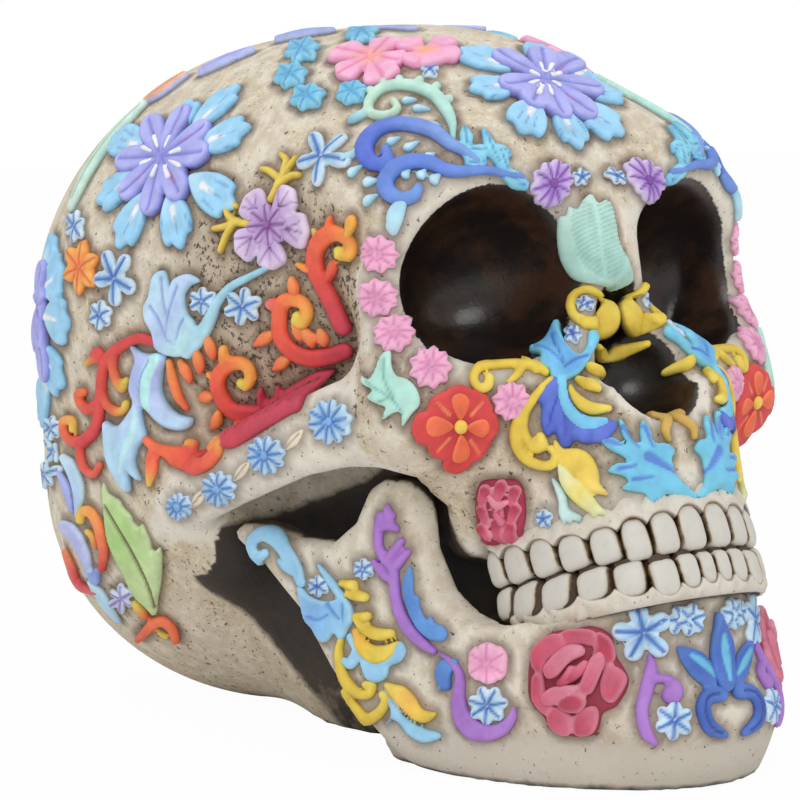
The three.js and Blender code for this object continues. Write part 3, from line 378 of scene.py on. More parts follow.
# a copy of the casting, remeshed finely and drawn onto the sculpted surface
def smoothCasting(node, name, field, *fill):
    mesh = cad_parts[node].data.copy()
    shape = bmesh.new()
    shape.from_mesh(mesh)
    bmesh.ops.remove_doubles(shape, verts=shape.verts[:], dist=skinDetail["weld"] / 1000)
    for centre, radii in fill:  # the thin wall behind each eye socket's outer rim is made whole
        made = bmesh.ops.create_uvsphere(shape, u_segments=skinDetail["ribs"],
            v_segments=skinDetail["rings"], radius=1)
        for v in made["verts"]:
            v.co = toTable([np.array(centre) + np.array(v.co) * radii])[0] / 1000
        bmesh.ops.reverse_faces(shape, faces=list({f for v in made["verts"] for f in v.link_faces}))
    shape.to_mesh(mesh)
    shape.free()
    item = newObject(name, mesh, "bone", node)
    remesh = item.modifiers.new("remesh", "REMESH")
    remesh.mode = "VOXEL"
    remesh.voxel_size = skinDetail["voxel"] / 1000
    graph = bpy.context.evaluated_depsgraph_get()
    fine = bpy.data.meshes.new_from_object(item.evaluated_get(graph))
    item.modifiers.clear()
    item.data = fine
    fine.materials.clear()
    p = coordinates(fine)
    near = np.abs(field(p)) < skinDetail["reach"]
    q = p[near]
    for turn in range(skinDetail["turns"]):
        d, slope = field(q), slopeOf(field, q)
        move = slope * (d / np.maximum((slope ** 2).sum(1), skinDetail["least"]))[:, None]
        size = np.linalg.norm(move, axis=1, keepdims=True)
        q = q - move * np.minimum(1, skinDetail["step"] / np.maximum(size, 1e-9))
    p[near] = q
    p[:, 2] = np.maximum(p[:, 2], 0)
    setCoordinates(fine, p)
    fine.polygons.foreach_set("use_smooth", [True] * len(fine.polygons))
    print(name, "has", len(fine.polygons), "faces")
    return item


fillAt, fillRadii = socketFill
skull = smoothCasting("skull_casting", "skullCasting", skullField,
    *[((side * fillAt[0], *fillAt[1:]), fillRadii) for side in (-1, 1)])
jawPiece = smoothCasting("jaw_casting", "jawCasting", jawField)


# Raised relief.
# Every ornament is modelled flat, as strokes and outlines in the millimetres of a plane that touches
# the casting, and then laid down on the casting. Its marks are given as points of the photograph.
# the relief's wash colour, #4a3a2e, goes on each relief's sunk foot: brown wash and painted crease shade
relief = {"step": 0.46, "high": 1.7, "round": 0.75, "edge": 0.42, "sink": 0.9, "rim": 0.45, "washAndShade": "#4a3a2e",
    "reach": 30.0, "fall": 0.5, "drop": 1.2, "bend": 5, "soft": 1.4, "feel": 3, "margin": 1.5, "trim": 0.6,
    "thinnest": 0.12, "lowest": 0.1, "vein": 0.4, "veinDeep": 0.3, "dish": (1.6, 0.4),
    "coreEnds": (0.04, 0.93), "passes": 3}
# a mark counts as over an opening when it lies deeper than this, in millimetres and shares of its
# distance from the ornament's middle, or further off than its picture distance allows
opening = {"deep": 0.9, "slope": 0.22, "bow": 45, "far": 1.5, "perPixel": 0.6}


def castingTree(item):
    shape = bmesh.new()
    shape.from_mesh(item.data)
    tree = BVHTree.FromBMesh(shape)
    shape.free()
    return tree


carriers = {"skull": (castingTree(skull), skullField), "jaw": (castingTree(jawPiece), jawField)}


# where the line of sight through a picture point meets the casting, in millimetres
def touch(pixel, carrier):
    tree = carriers[carrier][0]
    way = Vector(lookThrough(pixel))
    hit = tree.ray_cast(Vector(eye) / 1000, way)[0]
    if hit is None:
        middle = Vector((0, 0.02, 0.07)) - Vector(eye) / 1000
        hit = tree.find_nearest(Vector(eye) / 1000 + way * middle.dot(way))[0]
    return np.array(hit) * 1000


def bedPlane(centre, carrier):
    at = touch(centre, carrier) if len(centre) == 2 else np.array(centre, float)
    steps = [(0, 0, 0), (1, 0, 0), (-1, 0, 0), (0, 1, 0), (0, -1, 0), (0, 0, 1), (0, 0, -1)]
    around = at + relief["feel"] * np.array(steps)
    normal = slopeOf(carriers[carrier][1], around).mean(0)
    normal /= np.linalg.norm(normal)
    across = right - normal * (right @ normal)
    if np.linalg.norm(across) < 0.3:
        across = upward - normal * (upward @ normal)
    across /= np.linalg.norm(across)
    return {"at": at, "normal": normal, "across": across, "up": np.cross(normal, across), "carrier": carrier,
            "pixel": np.array(centre, float) if len(centre) == 2 else None}


def flatten(points, bed):  # picture points to the bed's own millimetres
    places = np.array([touch(p, bed["carrier"]) for p in points]) - bed["at"]
    depth = places @ bed["normal"]
    aside = np.linalg.norm(places - np.outer(depth, bed["normal"]), axis=1)
    over = depth < -opening["deep"] - np.maximum(opening["slope"] * aside, aside ** 2 / opening["bow"])
    if bed["pixel"] is not None:
        pixels = np.linalg.norm(np.array(points) - bed["pixel"], axis=1)
        over |= np.linalg.norm(places, axis=1) > opening["far"] + opening["perPixel"] * pixels
    for i in np.nonzero(over)[0]:  # a mark over an opening stays on the bed
        way = lookThrough(points[i])
        places[i] = eye + way * ((bed["at"] - eye) @ bed["normal"]) / (way @ bed["normal"]) - bed["at"]
    return np.stack([places @ bed["across"], places @ bed["up"]], 1)


def bent(points, values, closed=False):  # a smooth curve through points, with values carried along
    data = np.column_stack([points, values])
    if closed:
        data = np.vstack([data[-1], data, data[0], data[1]])
    else:
        data = np.vstack([2 * data[0] - data[1], data, 2 * data[-1] - data[-2]])
    found = []
    for a, b, c, d in zip(data, data[1:], data[2:], data[3:]):
        for t in np.arange(relief["bend"]) / relief["bend"]:
            square, cube = 2 * a - 5 * b + 4 * c - d, 3 * b - a - 3 * c + d
            found.append(0.5 * (2 * b + (c - a) * t + square * t * t + cube * t ** 3))
    if not closed:
        found.append(data[-2])
    return np.array(found)


def strokeDistance(p, path):  # path rows are u, v, half width, share along
    best = [np.full(len(p), np.inf), np.zeros(len(p)), np.full(len(p), np.inf)]
    for a, b in zip(path, path[1:]):
        e = b[:2] - a[:2]
        w = p - a[:2]
        t = np.clip(w @ e / max(e @ e, 1e-9), 0, 1)
        away = np.hypot(w[:, 0] - e[0] * t, w[:, 1] - e[1] * t)
        d = away - (a[2] + (b[2] - a[2]) * t)
        closer = d < best[0]
        best[0] = np.where(closer, d, best[0])
        best[1] = np.where(closer, a[3] + (b[3] - a[3]) * t, best[1])
        best[2] = np.where(closer, away, best[2])
    return best


def colourAlong(paint, share):
    stops = np.array([srgb(c)[:3] for c in paint])
    place = np.clip(share, 0, 1) * (len(stops) - 1)
    low = np.minimum(place.astype(int), max(len(stops) - 2, 0))
    t = (place - low)[:, None]
    return stops[low] * (1 - t) + stops[np.minimum(low + 1, len(stops) - 1)] * t


petalForms = {"scalloped": [(0.02, 0.08), (0.2, 0.3), (0.45, 0.47), (0.68, 0.5), (0.84, 0.43), (0.86, 0.25),
    (1.0, 0.08)], "round": [(0.0, 0.06), (0.2, 0.26), (0.5, 0.44), (0.75, 0.48), (0.92, 0.34), (1.0, 0.1)],
    "pointed": [(0.0, 0.06), (0.3, 0.34), (0.55, 0.5), (0.8, 0.34), (1.0, 0.0)],
    "kite": [(0.0, 0.1), (0.4, 0.34), (0.68, 0.5), (0.86, 0.46), (0.95, 0.22), (1.0, 0.0)],
    "drop": [(0.0, 0.02), (0.3, 0.22), (0.65, 0.46), (0.85, 0.42), (1.0, 0.12)]}


def boxRound(points, margin):
    return np.array([points.min(0) - margin, points.max(0) + margin])


def prepare(shape, bed):  # a shape's marks, laid on the bed
    made = dict(shape)
    if "local" in shape:
        flat = np.array(shape["local"], float)
    else:
        flat = flatten(shape["points"], bed)
    if shape["kind"] == "petal":
        start, tip = flat
        way = tip - start
        aside = np.array([-way[1], way[0]]) / max(np.linalg.norm(way), 1e-6) * shape["width"]
        form = petalForms[shape["form"]]
        both = [(a, b) for a, b in form] + [(a, -b) for a, b in reversed(form) if b > 0]
        ring = np.array([start + way * a + aside * b for a, b in both])
        made["ring"] = bent(ring, np.zeros((len(ring), 1)), True)[:, :2]
        made["box"] = boxRound(made["ring"], relief["margin"])
        made["span"] = (start, tip)
    elif shape["kind"] == "line":
        if len(shape["wide"]) > len(flat):
            spots = np.linspace(0, len(flat) - 1, len(shape["wide"]))
            flat = np.column_stack([np.interp(spots, np.arange(len(flat)), flat[:, k]) for k in (0, 1)])
        wide = np.interp(np.linspace(0, 1, len(flat)), np.linspace(0, 1, len(shape["wide"])), shape["wide"])
        if shape.get("held"):  # the stroke's round end stops at the last mark
            way = flat[-1] - flat[-2]
            size = np.linalg.norm(way)
            flat[-1] = flat[-1] - way / max(size, 1e-6) * min(wide[-1], size * 0.8)
        made["path"] = bent(flat, np.column_stack([wide, np.linspace(0, 1, len(flat))]))
        made["path"][:, 2] = np.maximum(made["path"][:, 2], relief["thinnest"])
        made["box"] = boxRound(made["path"][:, :2], wide.max() + relief["margin"])
    else:
        ring = bent(flat, np.zeros((len(flat), 1)), True)[:, :2] if shape.get("soft", True) else flat
        made["ring"] = ring
        made["box"] = boxRound(ring, relief["margin"])
        made["span"] = (flat[0], flat[len(flat) // 2])
    return made


def within(p, box):
    return (p[:, 0] > box[0, 0]) & (p[:, 1] > box[0, 1]) & (p[:, 0] < box[1, 0]) & (p[:, 1] < box[1, 1])


def measure(p, shape):  # signed distance, share along and distance from the middle line
    if shape["kind"] == "line":
        return strokeDistance(p, shape["path"])
    d = flatOutline(p[:, 0], p[:, 1], shape["ring"])
    a, b = shape["span"]
    along = np.clip((p - a) @ (b - a) / max((b - a) @ (b - a), 1e-9), 0, 1)
    if shape["kind"] == "area":
        return d, along, -d
    aside = np.abs((p - a) @ np.array([a[1] - b[1], b[0] - a[0]])) / max(np.linalg.norm(b - a), 1e-9)
    return d, along, aside


def layerDistance(p, shapes):
    nearest = np.full(len(p), 99.0)
    for shape in shapes:
        near = within(p, shape["box"])
        if near.any():
            nearest[near] = np.minimum(nearest[near], measure(p[near], shape)[0])
    return nearest


def layerSurface(p, shapes, veins):  # height and colour at each point
    height, colour = np.full(len(p), -9.0), np.zeros((len(p), 3))
    for shape in shapes:
        near = np.flatnonzero(within(p, shape["box"]))
        if not len(near):
            continue
        d, along, away = measure(p[near], shape)
        high = shape.get("high", relief["high"])
        inward = np.clip(-d / shape.get("round", relief["round"]), 0, 1)
        rise = high * (relief["edge"] + (1 - relief["edge"]) * np.sqrt(1 - (1 - inward) ** 2))
        rise = np.where(d > 0.02, -5 - d, rise)
        paint = colourAlong(shape["paint"], along)
        if "rim" in shape:
            t = np.clip(1 + d / shape.get("rimWide", relief["rim"]), 0, 1)[:, None]
            paint = paint * (1 - t) + np.array(srgb(shape["rim"])[:3]) * t
        if "core" in shape:  # a painted or engraved line along the middle
            coreWide, coreColour, coreDeep = shape["core"]
            begin, end = relief["coreEnds"]
            t = np.clip(1.3 - away / coreWide, 0, 1) * (along > begin) * (along < end)
            paint = paint * (1 - t[:, None]) + np.array(srgb(coreColour)[:3]) * t[:, None]
            rise = rise - coreDeep * t
        if "hollow" in shape:  # dished petals stand highest at their rims
            wide, start = relief["dish"]
            rise = rise - shape["hollow"] * np.clip(-d / wide - start, 0, 1)
        higher = rise > height[near]
        chosen = near[higher]
        height[chosen], colour[chosen] = rise[higher], paint[higher]
    for vein in veins:
        near = np.flatnonzero(within(p, vein["box"]))
        if not len(near):
            continue
        d = strokeDistance(p[near], vein["path"])[0]
        t = np.clip(0.5 - d / relief["vein"], 0, 1)
        colour[near] = colour[near] * (1 - t[:, None]) + np.array(srgb(vein["paint"][0])[:3]) * t[:, None]
        height[near] -= vein.get("deep", relief["veinDeep"]) * t
    return np.maximum(height, relief["lowest"]), colour


def layDown(p, bed):  # bed points onto the casting, with the casting's own direction outward
    tree, field = carriers[bed["carrier"]]
    places = np.zeros((len(p), 3))
    down = Vector(-bed["normal"])
    flat = bed["at"] + np.outer(p[:, 0], bed["across"]) + np.outer(p[:, 1], bed["up"])
    starts = (flat + bed["normal"] * relief["reach"]) / 1000
    for i, start in enumerate(starts):
        hit = tree.ray_cast(Vector(start), down, relief["reach"] * 2 / 1000)[0]
        if hit is None:
            hit = tree.find_nearest(Vector(start) + down * relief["reach"] / 1000)[0]
        places[i] = np.array(hit) * 1000
    drop = (places - bed["at"]) @ bed["normal"]
    # a petal doesn't fall into a socket
    lowest = -relief["fall"] * np.linalg.norm(p, axis=1) - relief["drop"]
    places += np.outer(np.maximum(lowest - drop, 0), bed["normal"])
    normals = slopeOf(field, places, 0.4)
    normals /= np.maximum(np.linalg.norm(normals, axis=1, keepdims=True), 1e-6)
    turned = (normals @ bed["normal"]) < 0.2
    normals[turned] = bed["normal"]
    return places, normals


def addLayer(shape, layer, bed):  # one closed leaf of relief, added to the piece's bmesh
    shapes = [prepare(s, bed) for s in layer["shapes"]]
    veins = [prepare(s, bed) for s in layer.get("veins", [])]
    low = np.min([s["box"][0] for s in shapes], 0) + relief["trim"]
    high = np.max([s["box"][1] for s in shapes], 0) - relief["trim"]
    step = layer.get("step", relief["step"])
    count = np.maximum(np.ceil((high - low) / step).astype(int), 2)
    leaf = bmesh.new()
    number, paint = leaf.verts.layers.int.new("number"), leaf.verts.layers.float_color.new("paint")
    bmesh.ops.create_grid(leaf, x_segments=int(count[0]), y_segments=int(count[1]), size=0.5)
    for i, v in enumerate(leaf.verts):
        v[number] = i
    p = np.array([v.co[:2] for v in leaf.verts])
    p = (p + 0.5) * (high - low) + low
    d = layerDistance(p, shapes)
    far = [f for f in leaf.faces if all(d[v[number]] >= 0 for v in f.verts)]
    bmesh.ops.delete(leaf, geom=far, context="FACES")
    kept = np.array([v[number] for v in leaf.verts])
    p, d = p[kept], d[kept]
    for turn in range(relief["passes"]):
        out = np.flatnonzero(d > 0.01)
        if not len(out):
            break
        slope = np.stack([layerDistance(p[out] + e, shapes) - layerDistance(p[out] - e, shapes)
            for e in np.eye(2) * 0.05], 1) / 0.1
        slope /= np.maximum(np.linalg.norm(slope, axis=1, keepdims=True), 0.5)
        p[out] -= slope * d[out][:, None]
        d[out] = layerDistance(p[out], shapes)
    height, colour = layerSurface(p, shapes, veins)
    places, normals = layDown(p, bed)
    top = places + normals * (height + layer.get("lift", 0))[:, None]
    bottom = places - normals * relief["sink"]
    for i, v in enumerate(leaf.verts):
        v[number] = i
    ends = bmesh.ops.extrude_face_region(leaf, geom=leaf.faces[:])
    # painted crease shade: the sunk foot of each relief takes the dark wash brown
    washAndShade = srgb(relief["washAndShade"])
    lower = {v for v in ends["geom"] if isinstance(v, bmesh.types.BMVert)}
    for v in leaf.verts:
        i = v[number]
        if v in lower:
            v.co, v[paint] = bottom[i] / 1000, washAndShade
        else:
            v.co, v[paint] = top[i] / 1000, (*colour[i], 1.0)
    bmesh.ops.recalc_face_normals(leaf, faces=leaf.faces[:])
    part = bpy.data.meshes.new("leaf")
    leaf.to_mesh(part)
    leaf.free()
    shape.from_mesh(part)
    bpy.data.meshes.remove(part)


paints = {}
reliefPieces = []


def boxed(places):  # nothing stands further out than the CAD model does
    low, high = (np.array(corner) * 1000 for corner in cadBox)
    soft = relief["soft"]
    over, under = np.maximum(places - high + soft, 0), np.maximum(low + soft - places, 0)
    return places - over + soft * (1 - np.exp(-over / soft)) + under - soft * (1 - np.exp(-under / soft))


# groups are (centre, layers), and a piece is made for both sides unless it lies in the middle
def makeRelief(name, slot, nodes, carrier, groups, both=True):
    shape = bmesh.new()
    for centre, layers in groups:
        bed = bedPlane(centre, carrier)
        for layer in layers:
            addLayer(shape, layer, bed)
    mesh = bpy.data.meshes.new(name)
    shape.to_mesh(mesh)
    shape.free()
    setCoordinates(mesh, boxed(coordinates(mesh)))
    mesh.polygons.foreach_set("use_smooth", [True] * len(mesh.polygons))
    mesh.materials.append(paints["relief"])
    print(name, "has", len(mesh.polygons), "faces")
    if not both:
        reliefPieces.append(newObject(name, mesh, slot, *nodes))
        return
    twin = mesh.copy()
    places = coordinates(twin)
    places[:, 0] *= -1
    setCoordinates(twin, places)
    twin.flip_normals()
    title = name[0].upper() + name[1:]
    reliefPieces.append(newObject("right" + title, mesh, slot, *["right_" + n for n in nodes]))
    reliefPieces.append(newObject("left" + title, twin, slot, *["left_" + n for n in nodes]))


# Short ways to write a mark: a stroke with its half widths in millimetres, an outline, the petals
# round a middle, and a dot.
def line(points, wide, *paint, **more):
    widths = wide if isinstance(wide, (list, tuple)) else [wide]
    return {"kind": "line", "points": points, "wide": widths, "paint": paint, **more}


def area(points, *paint, **more):
    return {"kind": "area", "points": points, "paint": paint, **more}


def between(a, b, share):
    return (a[0] + (b[0] - a[0]) * share, a[1] + (b[1] - a[1]) * share)


def petals(centre, tips, start, width, form, *paint, **more):  # petals that begin a share of the way out
    return [{"kind": "petal", "points": [between(centre, tip, start), tip], "width": width, "form": form,
        "paint": paint, **more} for tip in tips]


def ringTips(centre, count, radius, turn, squeeze=1.0, lean=0.0):  # tips round a centre, in picture points
    found = []
    for k in range(count):
        a = math.radians(turn + 360 * k / count)
        across, rise = radius * squeeze * math.cos(a), radius * math.sin(a)
        found.append((centre[0] + across + lean * rise, centre[1] - rise))
    return found


def dot(at, radius, *paint, **more):
    return line([at, (at[0] + 0.5, at[1])], radius, *paint, **more)


# Materials.
# A pattern is its scale in cycles a metre, worked out from the real size beside it, and its detail.
acrylic = {"roughness": 0.58,
    "brush": (300.0, 4.0),  # brush marks about 3 mm long
    "brushAt": (0.32, 0.7), "light": (0.88, 1.1),
    "grain": (1300.0, 2.0),  # the cast's grain, 0.8 mm
    "bump": (0.14, 0.0003)}


def acrylicPaint():  # matt acrylic brushed on the raised relief: thin and uneven, so the cast shows its grain
    material, shader = newMaterial("mattAcrylicPaint", acrylic["roughness"])
    place = addNode(material, "ShaderNodeTexCoord").outputs["Object"]
    paint = addNode(material, "ShaderNodeAttribute", attribute_name="paint", attribute_type="GEOMETRY")
    scale, detail = acrylic["brush"]
    brush = addNode(material, "ShaderNodeTexNoise", {"Vector": place, "Scale": scale, "Detail": detail})
    low, high = acrylic["brushAt"]
    dim, bright = acrylic["light"]
    light = addNode(material, "ShaderNodeMapRange", {"Value": brush.outputs["Fac"], "From Min": low,
        "From Max": high, "To Min": dim, "To Max": bright})
    toned = addNode(material, "ShaderNodeHueSaturation", {"Color": paint.outputs["Color"],
        "Value": light.outputs[0]})
    material.node_tree.links.new(toned.outputs[0], shader.inputs["Base Color"])
    scale, detail = acrylic["grain"]
    grain = addNode(material, "ShaderNodeTexNoise", {"Vector": place, "Scale": scale, "Detail": detail})
    strength, distance = acrylic["bump"]
    bump = addNode(material, "ShaderNodeBump", {"Height": grain.outputs["Fac"], "Strength": strength,
        "Distance": distance})
    material.node_tree.links.new(bump.outputs[0], shader.inputs["Normal"])
    return material


# the two darkest browns, #3b2e25 and #221a15, are shade painted into the recesses
resin = {"bone": "#e2dccf", "sand": "#e4dbca", "tan": "#d3c4a8", "pale": "#eae3d5", "washAndShade": "#6a5340",
    "mottle": "#ab987e", "speck": "#3a2d23", "recessShade": "#3b2e25", "depth": "#221a15", "socket": "#1d1613",
    "socketRed": "#3d281b", "roughness": 0.62, "gloss": 0.27, "bump": (0.3, 0.0005),
    "patterns": {
        "grain": (1300.0, 3.0, 0.5),  # cast grain, 0.8 mm
        "specks": (820.0, 4.0, 0.68),  # pits that hold the wash, 1.2 mm
        "patches": (95.0, 4.0, 0.6),  # patches of tone, 11 mm
        "brush": (260.0, 4.0, 0.6)}}  # wiped wash, 4 mm
# The kinds of step: the node, the sockets that its values go to, its output and its settings.
stepKinds = {"ramp": ("ShaderNodeMapRange", ("Value", "From Min", "From Max", "To Min", "To Max"), 0, {}),
    "mix": ("ShaderNodeMix", ("Factor", 6, 7), 2, {"data_type": "RGBA"}),
    "add": ("ShaderNodeMath", (0, 1), 0, {"operation": "ADD"}),
    "subtract": ("ShaderNodeMath", (0, 1), 0, {"operation": "SUBTRACT"}),
    "times": ("ShaderNodeMath", (0, 1), 0, {"operation": "MULTIPLY"}),
    "most": ("ShaderNodeMath", (0, 1), 0, {"operation": "MAXIMUM"})}
# Each step has its name, its kind and its values, which may be the names of earlier steps. A ramp
# says from where to where it changes, and from what to what if not from 0 to 1.
resinSteps = (
    ("tanShare", "ramp", "patches", 0.38, 0.62),
    ("twoTone", "mix", "tanShare", resin["sand"], resin["tan"]),
    ("paleShare", "ramp", "grain", 0.48, 0.62, 0.0, 0.55),
    ("grained", "mix", "paleShare", "twoTone", resin["pale"]),
    ("mottleShare", "ramp", "stipple", 0.15, 0.5, 0.0, 0.75),
    ("mottled", "mix", "mottleShare", "grained", resin["mottle"]),
    ("wander", "ramp", "brush", 0.35, 0.65, -0.2, 0.2),
    ("wiped", "add", "smooth", "wander"),
    ("boneShare", "ramp", "wiped", 0.2, 0.8),
    ("bare", "mix", "boneShare", "mottled", resin["bone"]),
    ("strokes", "ramp", "brush", 0.58, 0.42, 0.0, 0.34),
    ("rough", "ramp", "smooth", 0.0, 1.0, 1.0, 0.6),
    ("wornShare", "times", "strokes", "rough"),
    ("worn", "mix", "wornShare", "bare", resin["mottle"]),
    ("streaks", "ramp", "brush", 0.3, 0.7, 0.5, 1.0),
    # painted crease shade with the wash: browner near each ornament's edge
    ("washShadeShare", "times", "near", "streaks"),
    ("washedAndShaded", "mix", "washShadeShare", "worn", resin["washAndShade"]),
    ("drift", "ramp", "patches", 0.3, 0.7, -0.05, 0.05),
    ("crowding", "add", "stipple", "drift"),
    ("level", "ramp", "crowding", 0.0, 1.0, 0.34, 0.62),
    ("dark", "subtract", "specks", "level"),
    ("speckShare", "ramp", "dark", 0.0, -0.05, 0.0, 0.9),
    ("speckled", "mix", "speckShare", "washedAndShaded", resin["speck"]),
    ("uneven", "ramp", "brush", 0.3, 0.7, -0.12, 0.12),
    # painted shade: the sheltered share darkens the colour in two steps towards the recess browns
    ("depth", "add", "recessShade", "uneven"),
    ("deepShadeShare", "ramp", "depth", 0.7, 1.1),
    ("recessShadeShare", "ramp", "depth", 0.2, 0.6),
    ("shaded", "mix", "recessShadeShare", "speckled", resin["recessShade"]),
    ("recessShaded", "mix", "deepShadeShare", "shaded", resin["depth"]),
    ("redShare", "ramp", "patches", 0.45, 0.62),
    ("hollow", "mix", "redShare", resin["socket"], resin["socketRed"]),
    ("ragged", "ramp", "grain", 0.3, 0.7, -0.12, 0.12),
    ("socketEdge", "add", "socket", "ragged"),
    ("edge", "ramp", "socketEdge", 0.4, 0.6),
    ("colour", "mix", "edge", "recessShaded", "hollow"),
    ("roughness", "ramp", "edge", 0.0, 1.0, resin["roughness"], resin["gloss"]),
    ("pits", "ramp", "dark", 0.03, -0.05, 0.0, -0.5),
    ("height", "add", "grain", "pits"),
    ("evenness", "most", "smooth", "edge"),
    ("flatter", "ramp", "evenness", 0.0, 1.0, 1.0, 0.3),
    ("relieved", "times", "height", "flatter"))


def castPolyresin():  # cast polyresin, bone coloured, antiqued with a brown wash that stays in its pits; shade is painted into its recesses and, with the wash, round its ornaments
    material, shader = newMaterial("antiquedPolyresinWithPaintedShade", resin["roughness"])
    link = material.node_tree.links.new
    place = addNode(material, "ShaderNodeTexCoord").outputs["Object"]
    made = {}
    for name, (scale, detail, roughness) in resin["patterns"].items():
        made[name] = addNode(material, "ShaderNodeTexNoise", {"Vector": place, "Scale": scale,
            "Detail": detail, "Roughness": roughness}).outputs["Fac"]
    for name in ("smooth", "stipple", "near", "recessShade", "socket"):
        made[name] = addNode(material, "ShaderNodeAttribute", attribute_name=name,
            attribute_type="GEOMETRY").outputs["Fac"]
    for name, step, *values in resinSteps:
        kind, spots, output, settings = stepKinds[step]
        inputs = {spot: made.get(value, value) for spot, value in zip(spots, values)}
        made[name] = addNode(material, kind, inputs, **settings).outputs[output]
    link(made["colour"], shader.inputs["Base Color"])
    link(made["roughness"], shader.inputs["Roughness"])
    strength, distance = resin["bump"]
    bump = addNode(material, "ShaderNodeBump", {"Height": made["relieved"], "Strength": strength,
        "Distance": distance})
    link(bump.outputs[0], shader.inputs["Normal"])
    return material


ivory = {"roughness": 0.42,
    "streak": (420.0, 4.0),  # streaks of glaze, 2.4 mm
    "streakAt": (0.35, 0.7), "tone": (-0.16, 0.2), "bump": (0.15, 0.0004),
    "shades": ((0.0, "#cecbc3"), (1.0, "#33251a"), (0.4, "#c6beac"), (0.7, "#8f7658"))}


def paintedTeeth():  # the same resin, ivory and smoother, with the wash and painted shade left between the crowns
    material, shader = newMaterial("ivoryPaintedResin", ivory["roughness"])
    link = material.node_tree.links.new
    place = addNode(material, "ShaderNodeTexCoord").outputs["Object"]
    washAndShade = addNode(material, "ShaderNodeAttribute", attribute_name="washAndShade", attribute_type="GEOMETRY")
    scale, detail = ivory["streak"]
    streak = addNode(material, "ShaderNodeTexNoise", {"Vector": place, "Scale": scale,
        "Detail": detail}).outputs["Fac"]
    low, high = ivory["streakAt"]
    less, more = ivory["tone"]
    tone = addNode(material, "ShaderNodeMapRange", {"Value": streak, "From Min": low, "From Max": high,
        "To Min": less, "To Max": more})
    total = addNode(material, "ShaderNodeMath", {0: washAndShade.outputs["Fac"], 1: tone.outputs[0]},
        operation="ADD")
    shade = addNode(material, "ShaderNodeValToRGB", {"Fac": total.outputs[0]})
    stops = shade.color_ramp.elements
    for k, (position, colour) in enumerate(ivory["shades"]):
        stop = stops[k] if k < 2 else stops.new(position)
        stop.position, stop.color = position, srgb(colour)
    link(shade.outputs[0], shader.inputs["Base Color"])
    strength, distance = ivory["bump"]
    bump = addNode(material, "ShaderNodeBump", {"Height": streak, "Strength": strength,
        "Distance": distance})
    link(bump.outputs[0], shader.inputs["Normal"])
    return material


core = {"roughness": 0.6, "shades": ("#2c2019", "#5b432e"),
    "noise": (500.0, 3.0)}  # pooled wash, 2 mm


def washAndShadeCore():  # the row behind the crowns, painted dark for the wash and the shade between the crowns
    material, shader = newMaterial("darkWashAndShadeResin", core["roughness"])
    place = addNode(material, "ShaderNodeTexCoord").outputs["Object"]
    scale, detail = core["noise"]
    noise = addNode(material, "ShaderNodeTexNoise", {"Vector": place, "Scale": scale, "Detail": detail})
    mixed = addNode(material, "ShaderNodeMix", {"Factor": noise.outputs["Fac"], 6: core["shades"][0],
        7: core["shades"][1]}, data_type="RGBA")
    material.node_tree.links.new(mixed.outputs[2], shader.inputs["Base Color"])
    return material


paints["relief"] = acrylicPaint()
paints["resin"] = castPolyresin()
paints["ivory"] = paintedTeeth()
paints["core"] = washAndShadeCore()


# Flowers and leaves of the braincase.
lilac = "#b0b2f2"
sky = "#a0d6f7"
skyPale = "#c2e8fa"
cyan = "#74c3e7"
white = "#f5f6fa"
mint = "#c3e8d7"
leafGreen = "#aed485"
yellow = "#e8cc5a"
orange = "#f77d4d"
scarlet = "#d74749"
pink = "#f3accf"
plum = "#7e4f92"
mauvePale = "#d4bae3"

blossoms = {"temple": {"centre": (167, 161), "stamen": 20, "outerWide": 8.6, "innerWide": 6.6,
    "outer": [(192, 103), (240, 88), (251, 128), (236, 208), (183, 248), (120, 248), (100, 203),
    (116, 138)], "inner": [(190, 110), (214, 128), (212, 155), (187, 199), (153, 217), (125, 199),
    (122, 163), (153, 122)]}, "crown": {"centre": (542, 86), "stamen": 15, "outerWide": 8.8,
    "innerWide": 6.8, "outer": [(460, 52), (470, 92), (520, 134), (578, 150), (622, 136), (620, 98),
    (600, 72), (540, 50)], "inner": [(559, 122), (593, 121), (600, 95), (574, 66), (538, 55), (493, 57),
    (500, 92), (528, 110)]},}


def blossomLayers(data):
    c = data["centre"]
    outer = petals(c, data["outer"], 0.36, data["outerWide"], "scalloped", skyPale, sky, sky, rim="#90caed",
        hollow=0.35, high=1.5)
    marks = []
    for t in data["outer"]:
        d = (t[0] - c[0], t[1] - c[1])
        marks.append(line([between(c, t, a) for a in (0.56, 0.72)], [0.85, 0.3], white, deep=-0.25))
        for turn in (-0.2, 0, 0.2):
            e = (d[0] - d[1] * turn, d[1] + d[0] * turn)
            marks.append(line([(c[0] + e[0] * a, c[1] + e[1] * a) for a in (0.66, 0.84)], [0.12], "#5a8cbf",
                deep=0.25))
    inner = petals(c, data["inner"], 0.05, data["innerWide"], "round", "#9ea0e9", lilac, "#b8bbf5",
        rim="#9699e3", hollow=0.4, core=(0.5, "#8587d8", 0.35), high=1.5)
    strokes = [line([between(c, t, a) for a in (0.42, 0.64)], [0.3, 0.1], "#bf4b74", deep=0.1)
        for t in data["inner"][1::2]]
    dashes = []
    for tip in ringTips(c, 8, data["stamen"], 20):
        dashes.append(line([between(c, tip, 0.5), tip], [0.35, 0.6], white, high=0.7))
    return [{"shapes": outer, "veins": marks}, {"shapes": inner, "veins": strokes, "lift": 0.9},
        {"shapes": dashes, "lift": 1.9}]


templeBlossomDrawing = [(blossoms["temple"]["centre"], blossomLayers(blossoms["temple"]))]
makeRelief("templeBlossom", "lilac", ["temple_blossom"], "skull", templeBlossomDrawing)
crownBlossomDrawing = [(blossoms["crown"]["centre"], blossomLayers(blossoms["crown"]))]
makeRelief("crownBlossom", "lilac", ["crown_blossom"], "skull", crownBlossomDrawing, both=False)

